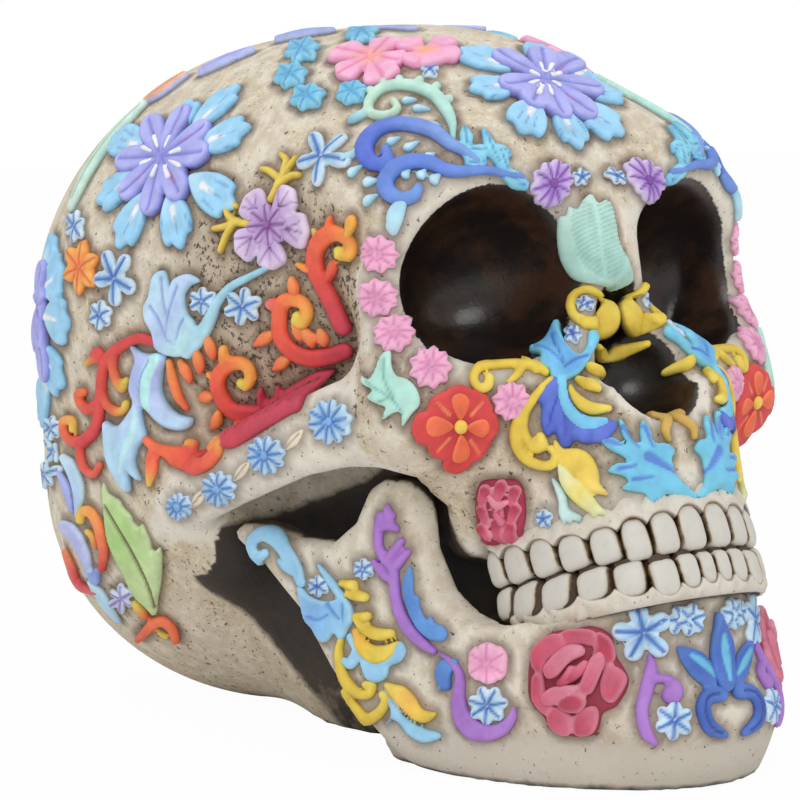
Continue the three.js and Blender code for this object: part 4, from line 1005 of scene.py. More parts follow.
rear = {"centre": (30, 306), "inner": [(36, 258), (48, 285), (48, 320), (43, 352), (34, 384), (26, 350),
    (24, 290)], "outer": [((46, 290), (66, 270)), ((48, 316), (71, 324)), ((44, 350), (66, 385)),
    ((34, 380), (43, 418)), ((38, 262), (58, 238))]}
rearBlossomDrawing = [(rear["centre"], [{"shapes": [{"kind": "petal", "points": [a, b], "width": 10.5,
    "form": "scalloped", "paint": [skyPale, sky, sky], "rim": "#90caed", "hollow": 0.35, "high": 1.3} for a,
    b in rear["outer"]], "veins": [line([a, ((a[0] + b[0]) / 2, (a[1] + b[1]) / 2)], [0.8, 0.3], white,
    deep=-0.2) for a, b in rear["outer"]]}, {"shapes": petals(rear["centre"], rear["inner"], 0.05, 7.0,
    "round", "#9ea0e9", lilac, "#b8bbf5", rim="#9699e3", hollow=0.4, core=(0.5, "#8587d8", 0.35), high=1.3),
    "lift": 0.9}])]
makeRelief("rearBlossom", "lilac", ["rear_blossom"], "skull", rearBlossomDrawing)

mauve = {"centre": (272, 226), "tips": [(296, 190), (311, 232), (275, 270), (238, 252), (248, 197)]}


def mauveLayers(data):
    c, veins = data["centre"], []
    for t in data["tips"]:
        d = (t[0] - c[0], t[1] - c[1])
        for turn, far in ((0, 0.9), (-0.3, 0.82), (0.3, 0.82)):
            e = (d[0] - d[1] * turn, d[1] + d[0] * turn)
            veins.append(line([between(c, t, 0.48), (c[0] + e[0] * far, c[1] + e[1] * far)], [0.2, 0.1], plum,
                deep=0.3))
    star = petals(c, ringTips(c, 8, 21, 6), 0.05, 2.5, "round", "#ac7ebf", mauvePale, rim="#ba96ce",
        core=(0.42, plum, 0.4), high=0.9)
    return [{"shapes": petals(c, data["tips"], 0.02, 7.2, "kite", plum, "#c0a4d6", mauvePale, "#ead9f1",
        rim="#e6d5ef", high=1.6), "veins": veins}, {"shapes": star, "lift": 1.2},
        {"shapes": [dot(c, 0.75, "#a060ae", high=0.9)], "lift": 1.6}]


mauveFlowerDrawing = [(mauve["centre"], mauveLayers(mauve))]
makeRelief("mauveFlower", "mauve", ["mauve_flower"], "skull", mauveFlowerDrawing)

sprigs = [(273, 196, [[(273, 200), (283, 180), (298, 159)], [(279, 186), (293, 177), (301, 176)],
    [(281, 180), (271, 172), (264, 170)], [(285, 174), (288, 162), (283, 156)]]),
    (248, 224, [[(250, 224), (238, 222), (229, 214), (231, 204), (238, 207)],
    [(240, 222), (226, 227), (216, 229)], [(234, 225), (227, 238), (222, 251)]])]
yellowSprigsDrawing = [((273, 215), [{"shapes": [line(p, [0.9, 0.8, 0.65], yellow, rim="#c0a240",
    high=1.4) for sprig in sprigs for p in sprig[2]]}])]
makeRelief("yellowSprigs", "coral", [], "skull", yellowSprigsDrawing)


# a small pale flower with an inked middle
def starFlower(centre, radius, turn, width, count=5, squeeze=1.0, lean=0.0, outer="#b8def7",
        inner="#3a69ba"):
    tips = ringTips(centre, count, radius, turn, squeeze, lean)
    return (centre, [{"shapes": petals(centre, tips, 0.0, width * 0.76, "round", inner, outer, "#cfe6f7",
        rim="#dceffa", core=(0.36, inner, 0.3), high=1.3)}])


def givenFlower(centre, tips, width, outer="#a9d2f0", inner="#3a69ba", rim="#dceffa"):
    return (centre, [{"shapes": petals(centre, tips, 0.0, width * 0.86, "round", inner, outer, "#cfe6f7",
        rim=rim, core=(0.5, inner, 0.3), high=1.4)}])


blueStarsDrawing = [givenFlower((323, 158), [(314, 135), (348, 137), (351, 164), (320, 186), (299, 165)],
    4.0), givenFlower((117, 279), [(107, 252), (130, 256), (136, 290), (117, 306), (97, 280)], 4.2),
    starFlower((204, 301), 14, 90, 2.6, 6), starFlower((244, 306), 19, 80, 3.4, 6),
    starFlower((102, 315), 15, 80, 3.0, 6, 0.75), starFlower((77, 227), 16, 80, 3.0, 6, 0.55),
    starFlower((54, 428), 12, 80, 2.8, 6, 0.7), starFlower((44, 452), 12, 80, 2.8, 6, 0.6),
    starFlower((48, 474), 14, 80, 3.0, 6, 0.6), starFlower((430, 71), 9, 90, 2.2, 5)]
makeRelief("blueStars", "sky", [], "skull", blueStarsDrawing)

orangeStar = (84, 268)
orangeStarDrawing = [(orangeStar, [{"shapes": petals(orangeStar, ringTips(orangeStar, 6, 28, 80, 0.62), 0.0,
    4.0, "pointed", "#f77d4d", "#f7aa57", "#f7c567", rim="#f1964b", core=(0.35, "#e15d3c", 0.3))}])]
makeRelief("orangeStar", "coral", [], "skull", orangeStarDrawing)

paleTulipDrawing = [((185, 315), [{"shapes": [area([(158, 274), (166, 271), (170, 282), (172, 290),
    (177, 279), (190, 274), (201, 281), (192, 286), (186, 297), (189, 313), (196, 322), (197, 334),
    (192, 348), (182, 356), (168, 354), (158, 347), (155, 333), (148, 320), (147, 306), (152, 296),
    (154, 284)], "#b8e0f7", "#c5e3fa", "#b7cef5", "#bee9f5", rim="#b4dcf1", high=1.8),
    line([(188, 349), (203, 334), (213, 316), (219, 302), (232, 287), (250, 277), (268, 268)],
    [2.0, 1.5, 1.0, 0.8, 0.6], "#b9e8f7", "#a0d5eb", high=1.6)],
    "veins": [line([(166, 278), (168, 300), (172, 318)], [0.35, 0.3, 0.1], "#90a8de", deep=0.4),
    line([(182, 286), (177, 300), (172, 318), (171, 336)], [0.35, 0.3, 0.1], "#90a8de", deep=0.4),
    line([(155, 306), (164, 320), (171, 338), (180, 342)], [0.4, 0.3, 0.1], "#97aae9", deep=0.4),
    line([(188, 318), (184, 326), (181, 338)], [0.3, 0.2], "#90a8de", deep=0.4)]}])]
makeRelief("paleTulip", "sky", ["pale_tulip"], "skull", paleTulipDrawing)

paleLeafDrawing = [((145, 400), [{"shapes": [area([(133, 344), (141, 350), (150, 353), (161, 352),
    (168, 357), (165, 372), (164, 390), (170, 404), (181, 414), (194, 418), (192, 427), (180, 431),
    (166, 428), (156, 420), (149, 411), (143, 407), (145, 422), (148, 437), (141, 447), (137, 462),
    (143, 480), (134, 474), (131, 472), (132, 491), (120, 478), (111, 460), (108, 442), (107, 421),
    (116, 425), (124, 424), (132, 412), (136, 402), (132, 388), (134, 372), (138, 358)], "#bcc8f5",
    "#b2bef7", "#c2d3fa", "#b7ddf7", soft=True, rim="#a3cfed", high=1.9, round=1.0)],
    "veins": [line([(160, 356), (151, 374), (149, 396), (153, 409)], [1.3, 1.6, 1.4, 0.6], "#c0f5f4",
    deep=-0.1), line([(140, 412), (138, 436), (131, 452), (127, 472)], [0.5, 1.0, 0.9, 0.3], "#c3eef5",
    deep=-0.1), line([(154, 358), (146, 374), (144, 394), (146, 404)], [0.2, 0.15], "#8a97dc",
    deep=0.4)]}])]
makeRelief("paleLeaf", "sky", ["pale_leaf"], "skull", paleLeafDrawing)

redBranchDrawing = [((112, 405), [{"shapes": [line([(156, 341), (142, 338), (130, 342), (115, 352),
    (106, 366), (103, 391), (101, 416), (95, 432), (83, 443)], [1.1, 1.2, 1.3, 1.4], scarlet, "#e1514a",
    "#da474d"), line([(84, 442), (73, 440), (67, 430), (67, 421), (75, 421), (76, 429)], [1.3, 1.2, 0.9],
    "#e1514a", orange, yellow), line([(83, 441), (83, 456), (87, 468), (96, 474), (102, 465)],
    [1.1, 1.0, 0.7], "#e1514a", "#eb6d58"), line([(107, 363), (101, 354), (96, 353)], [1.0, 1.5, 0.8],
    scarlet, "#e6584e"), line([(100, 357), (93, 360), (89, 364)], [1.2, 0.8, 0.4], "#e6584e", yellow),
    line([(103, 400), (92, 409), (84, 404), (81, 394), (86, 392)], [1.3, 1.2, 0.9], scarlet, orange),
    line([(118, 349), (115, 364), (118, 378), (124, 388), (128, 380)], [0.9, 1.1, 0.8], scarlet, "#e6774a",
    yellow), line([(104, 390), (109, 404), (118, 411), (126, 410), (128, 403)], [0.9, 1.1, 0.8], scarlet,
    "#e97d4a", yellow)]}])]
makeRelief("redBranch", "scarlet", ["red_branch"], "skull", redBranchDrawing)


def leaflet(points, *paint, wide=(0.7, 1.35, 0.5)):
    return line(points, list(wide), *(paint or ("#f79b58", "#f36d49")), high=1.5)


scrollEnds = {"crimson": "#d14054", "red": "#e75246", "orange": "#f57047", "gold": "#f7ab4f",
    "lemon": "#ebd95a"}
e = scrollEnds
scrolls = {"redScroll": [((335, 265), [line([(344, 326), (334, 303), (325, 285), (317, 266), (319, 246),
    (331, 233), (343, 234), (352, 243), (351, 255), (343, 257), (341, 250)],
    [1.7, 1.9, 2.0, 2.0, 1.9, 1.8, 1.6, 1.4, 1.2, 1.1, 1.0], e["crimson"], e["red"], e["orange"], e["gold"],
    e["lemon"]), line([(330, 236), (331, 226), (332, 217)], [1.0, 0.9, 0.4], e["orange"]),
    leaflet([(350, 232), (353, 222), (354, 217)], "#f1bb4f", "#f7ab4f"),
    leaflet([(325, 243), (319, 236), (315, 229)], "#e96d46", "#e1c95d", wide=(0.6, 0.7, 0.3)),
    line([(318, 266), (309, 268), (300, 264)], [1.1, 0.9, 0.5], e["orange"], e["gold"]),
    line([(331, 277), (335, 268), (335, 262)], [0.9, 1.1, 0.5], e["red"], e["orange"])])],
    "orangeScroll": [((310, 330), [line([(346, 350), (330, 355), (311, 357), (293, 350), (282, 335),
    (281, 317), (284, 303), (293, 299), (304, 302), (309, 312), (305, 322), (298, 321), (299, 315)],
    [1.7, 1.8, 1.9, 1.9, 1.9, 1.8, 1.7, 1.5, 1.4, 1.3, 1.2, 1.1, 1.0], e["crimson"], e["red"], e["orange"],
    e["gold"], e["lemon"]), line([(282, 308), (276, 304), (272, 304)], [1.3, 1.4, 1.1], e["red"],
    "#f18177")])], "coralScroll": [((240, 385), [line([(300, 402), (285, 407), (268, 409), (250, 412),
    (234, 409), (223, 396), (219, 380), (225, 368), (237, 362), (248, 365), (252, 375), (248, 384),
    (243, 382)], [1.4, 1.7, 1.9, 2.0, 2.0, 1.9, 1.8, 1.6, 1.5, 1.4, 1.3, 1.2, 1.1], "#bf4057", e["crimson"],
    e["red"], e["orange"], e["gold"], e["lemon"]), line([(228, 366), (226, 357), (225, 349)],
    [1.3, 1.3, 1.0], e["orange"], e["gold"]), line([(221, 378), (214, 375), (210, 373)], [0.9, 0.8, 0.5],
    e["orange"], e["gold"]), line([(264, 403), (262, 394), (262, 388)], [1.0, 0.8, 0.3], e["crimson"]),
    line([(282, 401), (280, 392), (279, 386)], [1.0, 0.8, 0.3], e["crimson"]),
    line([(245, 414), (242, 424), (237, 436)], [1.2, 1.3, 0.5], e["red"], e["gold"])])],}
for name, groups in scrolls.items():
    node = {"redScroll": "red_scroll", "orangeScroll": "orange_scroll", "coralScroll": "coral_scroll"}[name]
    makeRelief(name, "coral", [node], "skull", [(centre, [{"shapes": shapes, "veins": []}]) for centre,
        shapes in groups])

leaflets = [[(171, 361), (174, 378), (180, 396), (188, 408)], [(182, 361), (187, 370), (192, 380)],
    [(198, 351), (200, 361), (202, 371)], [(209, 338), (212, 348), (215, 357)],
    [(274, 333), (266, 338), (257, 344)], [(290, 357), (283, 362), (276, 368)],
    [(293, 279), (295, 288), (296, 297)], [(213, 395), (207, 396), (202, 397)],
    [(220, 411), (218, 420), (213, 427)], [(153, 457), (153, 468), (151, 484)],
    [(296, 325), (300, 332), (303, 339)], [(307, 330), (311, 338), (314, 345)],
    [(321, 331), (324, 338), (326, 344)]]
branches = [line([(148, 441), (157, 448), (168, 452), (182, 454), (191, 453), (194, 446), (189, 443)],
    [0.8, 1.1, 1.2, 1.1, 0.8], "#f1774f", e["orange"], e["red"], e["gold"]),
    line([(166, 451), (180, 462), (196, 468), (210, 463), (219, 454), (222, 446), (216, 445)],
    [1.0, 1.2, 1.2, 1.0, 0.8], e["orange"], e["red"], e["orange"], e["lemon"])]
templeLeafletsDrawing = [((200, 380), [{"shapes": [leaflet(p) for p in leaflets[:4]] + [
    leaflet(leaflets[7]), leaflet(leaflets[8]), leaflet(leaflets[9], "#f1644b", "#f77d53", "#f1cb5e",
    wide=(1.2, 1.5, 0.5))] + branches}]), ((293, 320), [{"shapes": [leaflet(leaflets[k]) for k in (4, 5, 6,
    10, 11, 12)]}])]
makeRelief("templeLeaflets", "coral", [], "skull", templeLeafletsDrawing)

crownPinkDrawing = [((371, 61), [{"shapes": petals((373, 61),
    [(336, 53), (338, 80), (386, 84), (402, 66), (392, 42)], 0.0, 8.0, "kite", "#f7ab7d", pink, "#f7bbd7",
    rim="#f1a2c9", core=(0.6, "#e986b1", 0.3))}]), ((430, 56),
    [{"shapes": petals((425, 57), [(404, 44), (452, 42), (462, 58), (436, 68), (404, 66)], 0.0, 6.0, "kite",
    "#f7ab7d", pink, "#f7bbd7", rim="#f1a2c9")}])]
makeRelief("crownPink", "pink", ["pink_flower"], "skull", crownPinkDrawing)
cyanBits = [(362, 36, 17, 0.55), (303, 53, 18, 0.6), (292, 78, 17, 0.7), (309, 99, 18, 0.7),
    (353, 95, 16, 0.7)]
cyanFlowersDrawing = [((x, y), [{"shapes": petals((x, y), ringTips((x, y), 6, r * 0.75, 20, 1.35, 0.25),
    0.0, 3.4, "pointed", "#65b2da", cyan, "#a0def1", rim="#92d5ed", core=(0.3, "#5398c6", 0.25))}]) for x,
    y, r, q in cyanBits]
makeRelief("cyanFlowers", "cyan", [], "skull", cyanFlowersDrawing)
topBits = [((224, 66), [(204, 74), (224, 64), (250, 54)], lilac),
    ((306, 37), [(280, 42), (306, 36), (330, 33)], "#9bb1ed"),
    ((390, 29), [(366, 30), (390, 27), (412, 30)], "#9babe9"),
    ((165, 92), [(150, 102), (165, 92), (184, 79)], "#f7ab63")]
crestPetalsDrawing = [(c, [{"shapes": [line(p, [1.2, 2.6, 1.4], col, rim="#c1cdf7",
    core=(0.5, "#8799d8", 0.3))]}]) for c, p, col in topBits]
makeRelief("crestPetals", "lilac", [], "skull", crestPetalsDrawing)
mintTendrilDrawing = [((108, 150), [{"shapes": [line([(146, 106), (130, 122), (112, 142), (95, 166),
    (82, 190), (74, 208)], [0.8, 1.8, 2.2, 1.8, 1.0], "#d9f2e6", mint, "#d9f2e6",
    core=(0.6, "#98bfb0", 0.3))]}])]
makeRelief("mintTendril", "mint", [], "skull", mintTendrilDrawing)
print("braincase relief is done")


# Flowers and leaves of the face.
browMarks = {"mintArc": [(453, 140), (452, 126), (447, 113), (436, 98), (418, 89), (397, 87), (380, 92),
    (370, 104), (371, 114), (382, 118), (393, 116), (398, 110), (395, 104)],
    "upperBlue": [(476, 162), (462, 152), (449, 145), (434, 134), (415, 128), (394, 127), (376, 134),
    (366, 148), (369, 160), (380, 166), (389, 161), (387, 152)],
    "lowerBlue": [(520, 176), (500, 173), (482, 170), (458, 172), (444, 170), (430, 164), (413, 163),
    (397, 169), (387, 181), (389, 193), (400, 200), (413, 197), (418, 189)]}
mintScrollDrawing = [((415, 105), [{"shapes": [line(browMarks["mintArc"],
    [0.5, 0.9, 1.3, 1.5, 1.5, 1.4, 1.3, 1.1, 1.0, 1.0, 0.9, 0.8, 0.8], "#b3e5dd", mint, "#cfebd2",
    high=1.6)] + [line([a, b], [1.1, 0.9], mint, high=1.5) for a,
    b in (((375, 97), (371, 92)), ((386, 89), (384, 84)), ((401, 86), (400, 81)), ((418, 87), (420, 82)),
    ((433, 93), (437, 88)), ((444, 104), (449, 101)))] + [line([(369, 113), (359, 118), (352, 122)],
    [0.9, 1.4, 0.8], "#b2e1e1", "#96cde3", high=1.3)]}])]
makeRelief("mintScroll", "mint", ["mint_scroll"], "skull", mintScrollDrawing)
dropMarks = [((402, 103), (418, 101)), ((413, 110), (431, 111)), ((425, 127), (442, 127)),
    ((387, 145), (401, 139)), ((404, 151), (420, 143)), ((425, 160), (436, 154)), ((403, 179), (411, 169)),
    ((418, 179), (427, 169)), ((430, 183), (442, 173)), ((349, 176), (364, 166)), ((364, 183), (382, 181)),
    ((365, 204), (380, 195)), ((391, 226), (400, 205)), ((345, 158), (361, 153)), ((359, 136), (366, 132))]
browDropsDrawing = [((400, 150), [{"shapes": [{"kind": "petal", "points": [b, a], "width": 2.2,
    "form": "drop", "paint": ["#9fd4e9", "#d6effa"], "rim": "#9fd4e9", "high": 1.2} for a,
    b in dropMarks[:12]] + [line([(402, 204), (396, 214), (393, 226)], [0.9, 1.5, 1.2], "#9fd4e9",
    "#c2e7f7"), line([(347, 160), (354, 157), (361, 152)], [1.0, 0.8, 0.6], "#b3e1f1")]}])]
makeRelief("browDrops", "sky", [], "skull", browDropsDrawing)
browScrollDrawing = [((430, 160), [{"shapes": [line(browMarks["upperBlue"],
    [0.7, 1.0, 1.3, 1.6, 1.7, 1.8, 1.9, 1.9, 1.7, 1.4, 1.2, 1.0], "#82a8e5", "#7f9fe3", "#5c7bd8",
    "#566fd4", "#6887dc", high=1.8), line(browMarks["lowerBlue"],
    [0.5, 0.6, 0.8, 1.1, 1.3, 1.5, 1.6, 1.7, 1.7, 1.6, 1.4, 1.2, 1.0], "#7396de", "#6283dc", "#7399de",
    high=1.8)]}])]
makeRelief("browScroll", "ink", ["brow_scroll"], "skull", browScrollDrawing)
leavesNear = [[(470, 160), (463, 150), (450, 146)], [(466, 148), (466, 138), (464, 130)],
    [(470, 152), (480, 152), (490, 152)], [(468, 164), (476, 164), (484, 163)],
    [(497, 164), (490, 150), (483, 133)], [(505, 170), (500, 158), (496, 147)],
    [(492, 156), (500, 152), (508, 156)], [(524, 184), (510, 176), (497, 170)]]
browLeavesDrawing = [((480, 155), [{"shapes": [line(p, [0.8, 1.35, 0.5], "#83cdeb", "#92d9ed", "#74c0e7",
    core=(0.25, "#5493ca", 0.2), high=1.4) for p in leavesNear]}])]
makeRelief("browLeaves", "cyan", [], "skull", browLeavesDrawing)
browDaisyDrawing = [((550, 183), [{"shapes": petals((550, 184), ringTips((550, 184), 10, 23, 10, 0.9, 0.1),
    0.04, 2.7, "round", "#8a5cb8", "#b893de", "#dccaf0", rim="#e3d2f2", core=(0.32, "#75439f", 0.3))},
    {"shapes": [dot((550, 184), 1.0, "#8550a8", high=0.7)], "lift": 1.1}]),
    starFlower((580, 178), 9, 90, 2.0, 5)]
makeRelief("browDaisy", "mauve", ["brow_daisy"], "skull", browDaisyDrawing)
feather = {"edge": [(590, 195), (597, 204), (605, 201), (611, 207), (615, 224), (619, 244), (627, 260),
    (638, 273), (628, 279), (612, 283), (594, 284), (580, 276), (570, 260), (563, 240), (558, 219),
    (566, 215), (568, 207), (577, 209), (582, 201)], "spine": [(591, 200), (596, 222), (600, 246),
    (604, 278)]}
barbs = []
for k in range(17):  # two rows of short barbs, rising outward from the middle of the feather
    t = 0.12 + 0.055 * k
    y = feather["spine"][0][1] + (feather["spine"][3][1] - feather["spine"][0][1]) * t
    x = np.interp(y, [q[1] for q in feather["spine"]], [q[0] for q in feather["spine"]])
    reach = 6 + 21 * math.sin(math.pi * (0.2 + 0.62 * t))
    for way in (-1, 1):
        for near, far in ((0.1, 0.5), (0.56, 0.95)):
            barbs.append(line([(x + way * reach * near, y - 11 * near),
                (x + way * reach * far, y - 11 * far)], [0.15, 0.1], "#8dbcb0", deep=0.4))
bridgeLeafDrawing = [((600, 240), [{"shapes": [area(feather["edge"], "#c3e6dc", "#b7dfd4", "#aed8ce",
    high=1.2, round=1.2, rim="#d0ebe2")], "veins": barbs}])]
makeRelief("bridgeLeaf", "mint", ["bridge_leaf"], "skull", bridgeLeafDrawing, both=False)
pinks = [((379, 254), 20, 0), ((378, 298), 20, 18), ((394, 334), 20, 8), ((430, 368), 22, 0),
    ((511, 401), 20, 12)]
pinkFlowersDrawing = [(c, [{"shapes": petals(c, ringTips(c, 9, r, turn), 0.0, 3.0, "pointed", "#d07fab",
    pink, "#f4bfd8", rim="#f2b4d2", core=(0.22, "#d486b0", 0.35), high=1.5)}]) for c, r, turn in pinks]
makeRelief("pinkFlowers", "pink", [], "skull", pinkFlowersDrawing)
mintLeafDrawing = [((392, 388), [{"shapes": [area([(357, 369), (364, 377), (372, 379), (377, 372),
    (383, 356), (391, 352), (392, 366), (397, 376), (408, 380), (417, 390), (420, 404), (412, 414),
    (403, 426), (402, 413), (394, 413), (384, 419), (387, 408), (379, 404), (370, 398), (375, 390),
    (366, 384)], "#c1ebdf", "#afe3d5", "#bce8dc", high=1.6, rim="#cdf1e6")],
    "veins": [line([(386, 360), (387, 380), (396, 400)], [0.2, 0.1], "#6fae9e", deep=0.35),
    line([(363, 374), (376, 386), (396, 400)], [0.2, 0.1], "#6fae9e", deep=0.35),
    line([(382, 402), (394, 400), (404, 414)], [0.2, 0.1], "#6fae9e", deep=0.3)]}])]
makeRelief("mintLeaf", "mint", ["mint_leaf"], "skull", mintLeafDrawing)

red = {"centre": (457, 425), "tips": [(461, 385), (487, 396), (499, 427), (482, 456), (456, 470),
    (430, 453), (411, 428), (431, 398)]}


def redFlowerLayers(data):
    c = data["centre"]
    strokes = [line([(c[0] + (t[0] - c[0]) * a, c[1] + (t[1] - c[1]) * a) for a in (0.4, 0.82)],
        [0.28, 0.12], "#f7965e", deep=0) for t in data["tips"][1::2]]
    inner = [(c[0] + dx, c[1] + dy) for dx, dy in ((1, -31), (31, 1), (1, 33), (-32, 0))]
    return [{"shapes": petals(c, data["tips"], 0.0, 6.3, "kite", "#a82028", "#d43d41", "#da4745",
        rim="#e5584e", hollow=0.2, high=1.7), "veins": strokes},
        {"shapes": petals(c, inner, 0.22, 3.9, "round", "#e15d3c", "#f1734b", rim="#f7895b", high=0.9),
        "lift": 1.3}, {"shapes": [dot(c, 1.35, "#f2ca57", high=0.9)], "lift": 1.6}]


redFlowerDrawing = [(red["centre"], redFlowerLayers(red))]
makeRelief("redFlower", "scarlet", ["red_flower"], "skull", redFlowerDrawing)
gold = ["#e9cd4c", "#e2c248", "#efd760"]
yellowScrollsDrawing = [((510, 376), [{"shapes": [line([(545, 373), (537, 368), (514, 366), (492, 365),
    (477, 370), (473, 380), (479, 388), (488, 386), (489, 379)],
    [0.8, 1.1, 0.9, 1.0, 1.0, 0.9, 0.9, 0.9, 1.0], *gold, high=1.5),
    line([(522, 367), (516, 376), (508, 382)], [0.9, 0.8, 0.4], *gold, high=1.4),
    line([(535, 370), (529, 364), (523, 361)], [0.9, 0.7, 0.3], *gold, high=1.4)]}]),
    ((530, 425), [{"shapes": [line([(550, 381), (537, 394), (525, 410), (516, 427), (517, 444), (526, 458),
    (541, 465), (553, 464), (557, 455), (552, 449)], [0.7, 0.9, 1.1, 1.2, 1.2, 1.1, 1.0, 1.0, 0.9, 0.8],
    *gold, high=1.6), line([(534, 398), (526, 412), (524, 428), (529, 441), (537, 448), (543, 444),
    (541, 437)], [0.6, 0.8, 0.9, 1.0, 1.1, 1.1, 1.0], *gold, high=1.5)]}]),
    ((584, 306), [{"shapes": [line([(603, 297), (594, 291), (584, 290), (575, 296), (572, 307), (576, 318),
    (586, 325)], [0.5, 0.8, 0.8, 0.9, 0.9, 1.0, 1.2], *gold, high=1.5),
    line([(585, 325), (597, 324), (606, 316), (609, 305), (606, 297)], [1.1, 2.0, 2.5, 1.9, 0.5], *gold,
    high=1.7)]}]), ((596, 354), [{"shapes": [line([(590, 346), (597, 354), (605, 359)], [0.7, 1.5, 0.7],
    *gold)]}]), ((595, 372), [{"shapes": [line([(587, 366), (595, 372), (603, 373)], [0.6, 1.4, 0.8],
    *gold)]}]), ((588, 385), [{"shapes": [line([(577, 381), (587, 386), (598, 389)], [0.6, 1.2, 0.7],
    *gold)]}]), ((588, 402), [{"shapes": [line([(571, 391), (579, 402), (591, 409), (608, 409)],
    [0.6, 1.2, 1.3, 0.7], *gold, high=1.6)]}]), ((664, 428),
    [{"shapes": [line([(656, 413), (665, 420), (664, 430), (667, 440)], [0.8, 1.1, 0.9, 0.5], "#c9a050",
    "#d8b25a", high=1.4)]}])]
makeRelief("yellowScrolls", "coral", [], "skull", yellowScrollsDrawing)
lily = [((562, 352), [{"shapes": [area([(531, 344), (541, 342), (549, 334), (559, 321), (562, 334),
    (566, 346), (573, 354), (580, 355), (586, 346), (588, 333), (594, 340), (590, 354), (585, 366),
    (577, 376), (566, 381), (552, 380), (548, 371), (539, 366), (541, 356)], "#75c2ed", "#66ade7",
    "#6dc4e9", rim="#89daf3", rimWide=0.8, high=1.9), line([(560, 378), (562, 391), (566, 405), (575, 418),
    (588, 424), (604, 422)], [1.2, 1.1, 1.2, 1.3, 1.3, 0.8], "#7ccef1", "#75c0eb", rim="#8edef5",
    high=1.8)], "veins": [line([(556, 334), (556, 350), (562, 366)], [0.3, 0.2], "#4f76c6", deep=0.4),
    line([(538, 347), (550, 356), (561, 366)], [0.3, 0.2], "#4f76c6", deep=0.4),
    line([(584, 358), (573, 362), (562, 370)], [0.35, 0.2], "#4f76c6", deep=0.4)]},
    {"shapes": [line([(558, 384), (550, 392), (541, 398)], [1.8, 2.0, 0.9], "#667dd8", "#566acc", high=1.4),
    line([(560, 392), (553, 412), (549, 430)], [1.6, 2.4, 1.0], "#5b77d4", "#4b61c4", high=1.5,
    core=(0.25, "#2f44a0", 0.3)), line([(564, 400), (566, 420), (566, 440)], [1.4, 2.3, 1.4], "#5b77d4",
    "#4b61c4", high=1.5, core=(0.25, "#2f44a0", 0.3)), line([(572, 416), (582, 428), (588, 436)],
    [1.4, 2.2, 1.4], "#667edc", "#566acc", high=1.4, core=(0.25, "#2f44a0", 0.3)),
    line([(584, 426), (598, 432), (612, 426)], [1.6, 2.0, 1.0], "#667edc", "#6172d4", high=1.3)]}])]
makeRelief("faceLily", "cyan", ["face_lily"], "skull", lily)
tinyStarsDrawing = [starFlower((585, 304), 9, 90, 1.9, 5, 1, 0, "#c2defa", "#2f4fb0"),
    starFlower((573, 336), 9, 70, 1.9, 5, 1, 0, "#c2defa", "#2f4fb0"),
    starFlower((545, 518), 9, 90, 2.0, 5)]
makeRelief("tinyStars", "ink", [], "skull", tinyStarsDrawing)
near = [(600, 439), (612, 438), (622, 444), (629, 446), (622, 436), (618, 420), (624, 425), (632, 440),
    (640, 445), (639, 432), (641, 421), (648, 430), (652, 443), (664, 444), (672, 452), (669, 461),
    (674, 476), (684, 488), (698, 499), (686, 500), (668, 495), (659, 500), (656, 512), (648, 506),
    (644, 494), (634, 492), (622, 489), (628, 482), (622, 476), (608, 472), (616, 464), (628, 463),
    (621, 456), (608, 449)]
nearVeins = [([(606, 441), (620, 446)], 0.75), ([(622, 428), (636, 448)], 0.6),
    ([(642, 428), (650, 448)], 0.55), ([(618, 470), (634, 467)], 0.5), ([(632, 481), (650, 479)], 0.5),
    ([(646, 458), (662, 468), (678, 478)], 1.1)]
cyanLeafDrawing = [((645, 465), [
    {"shapes": [area(near, "#7ccbed", "#72c3e7", "#78cdeb", rim="#86d9ef", high=1.7, soft=True)],
     "veins": [line(p, [w, 0.25], "#6089da", deep=0.45) for p, w in nearVeins]}])]
makeRelief("cyanLeaf", "cyan", ["cyan_leaf"], "skull", cyanLeafDrawing)
smileLeafDrawing = [((588, 500), [{"shapes": [area([(552, 478), (560, 484), (567, 496), (570, 508),
    (582, 516), (592, 526), (578, 524), (566, 524), (560, 514), (559, 500)], "#e5f2ef", "#c9e9e5",
    "#d0edeb", high=1.5, rim="#b3dada")]}, {"shapes": [line([(556, 442), (562, 456), (578, 462), (588, 474),
    (594, 486), (606, 494)], [0.4, 1.6, 2.6, 2.2, 1.3, 0.4], "#f1d25a", "#e9ca52", "#f7da78", high=1.6),
    line([(560, 462), (568, 480), (580, 494), (596, 510), (610, 516)], [0.5, 1.6, 1.9, 1.2, 0.3], "#ebf1cb",
    "#e9d975", "#d9ebca", high=1.5)]}])]
makeRelief("smileLeaf", "ink", [], "skull", smileLeafDrawing)
reds = [(620, 510), (673, 501)]
redBerriesDrawing = [(c, [{"shapes": [dot(c, 0.8, "#d04141", high=1.0)]}]) for c in reds]
makeRelief("redBerries", "scarlet", [], "skull", redBerriesDrawing)
bud = (502, 513)
budLobes = [((487, 488), (484, 498), 1.3), ((503, 485), (499, 495), 1.4), ((517, 490), (514, 501), 1.3),
    ((484, 508), (488, 518), 1.3), ((499, 504), (502, 514), 1.4), ((518, 508), (514, 519), 1.3),
    ((485, 527), (490, 534), 1.4), ((500, 523), (501, 534), 1.5), ((514, 526), (510, 534), 1.3)]
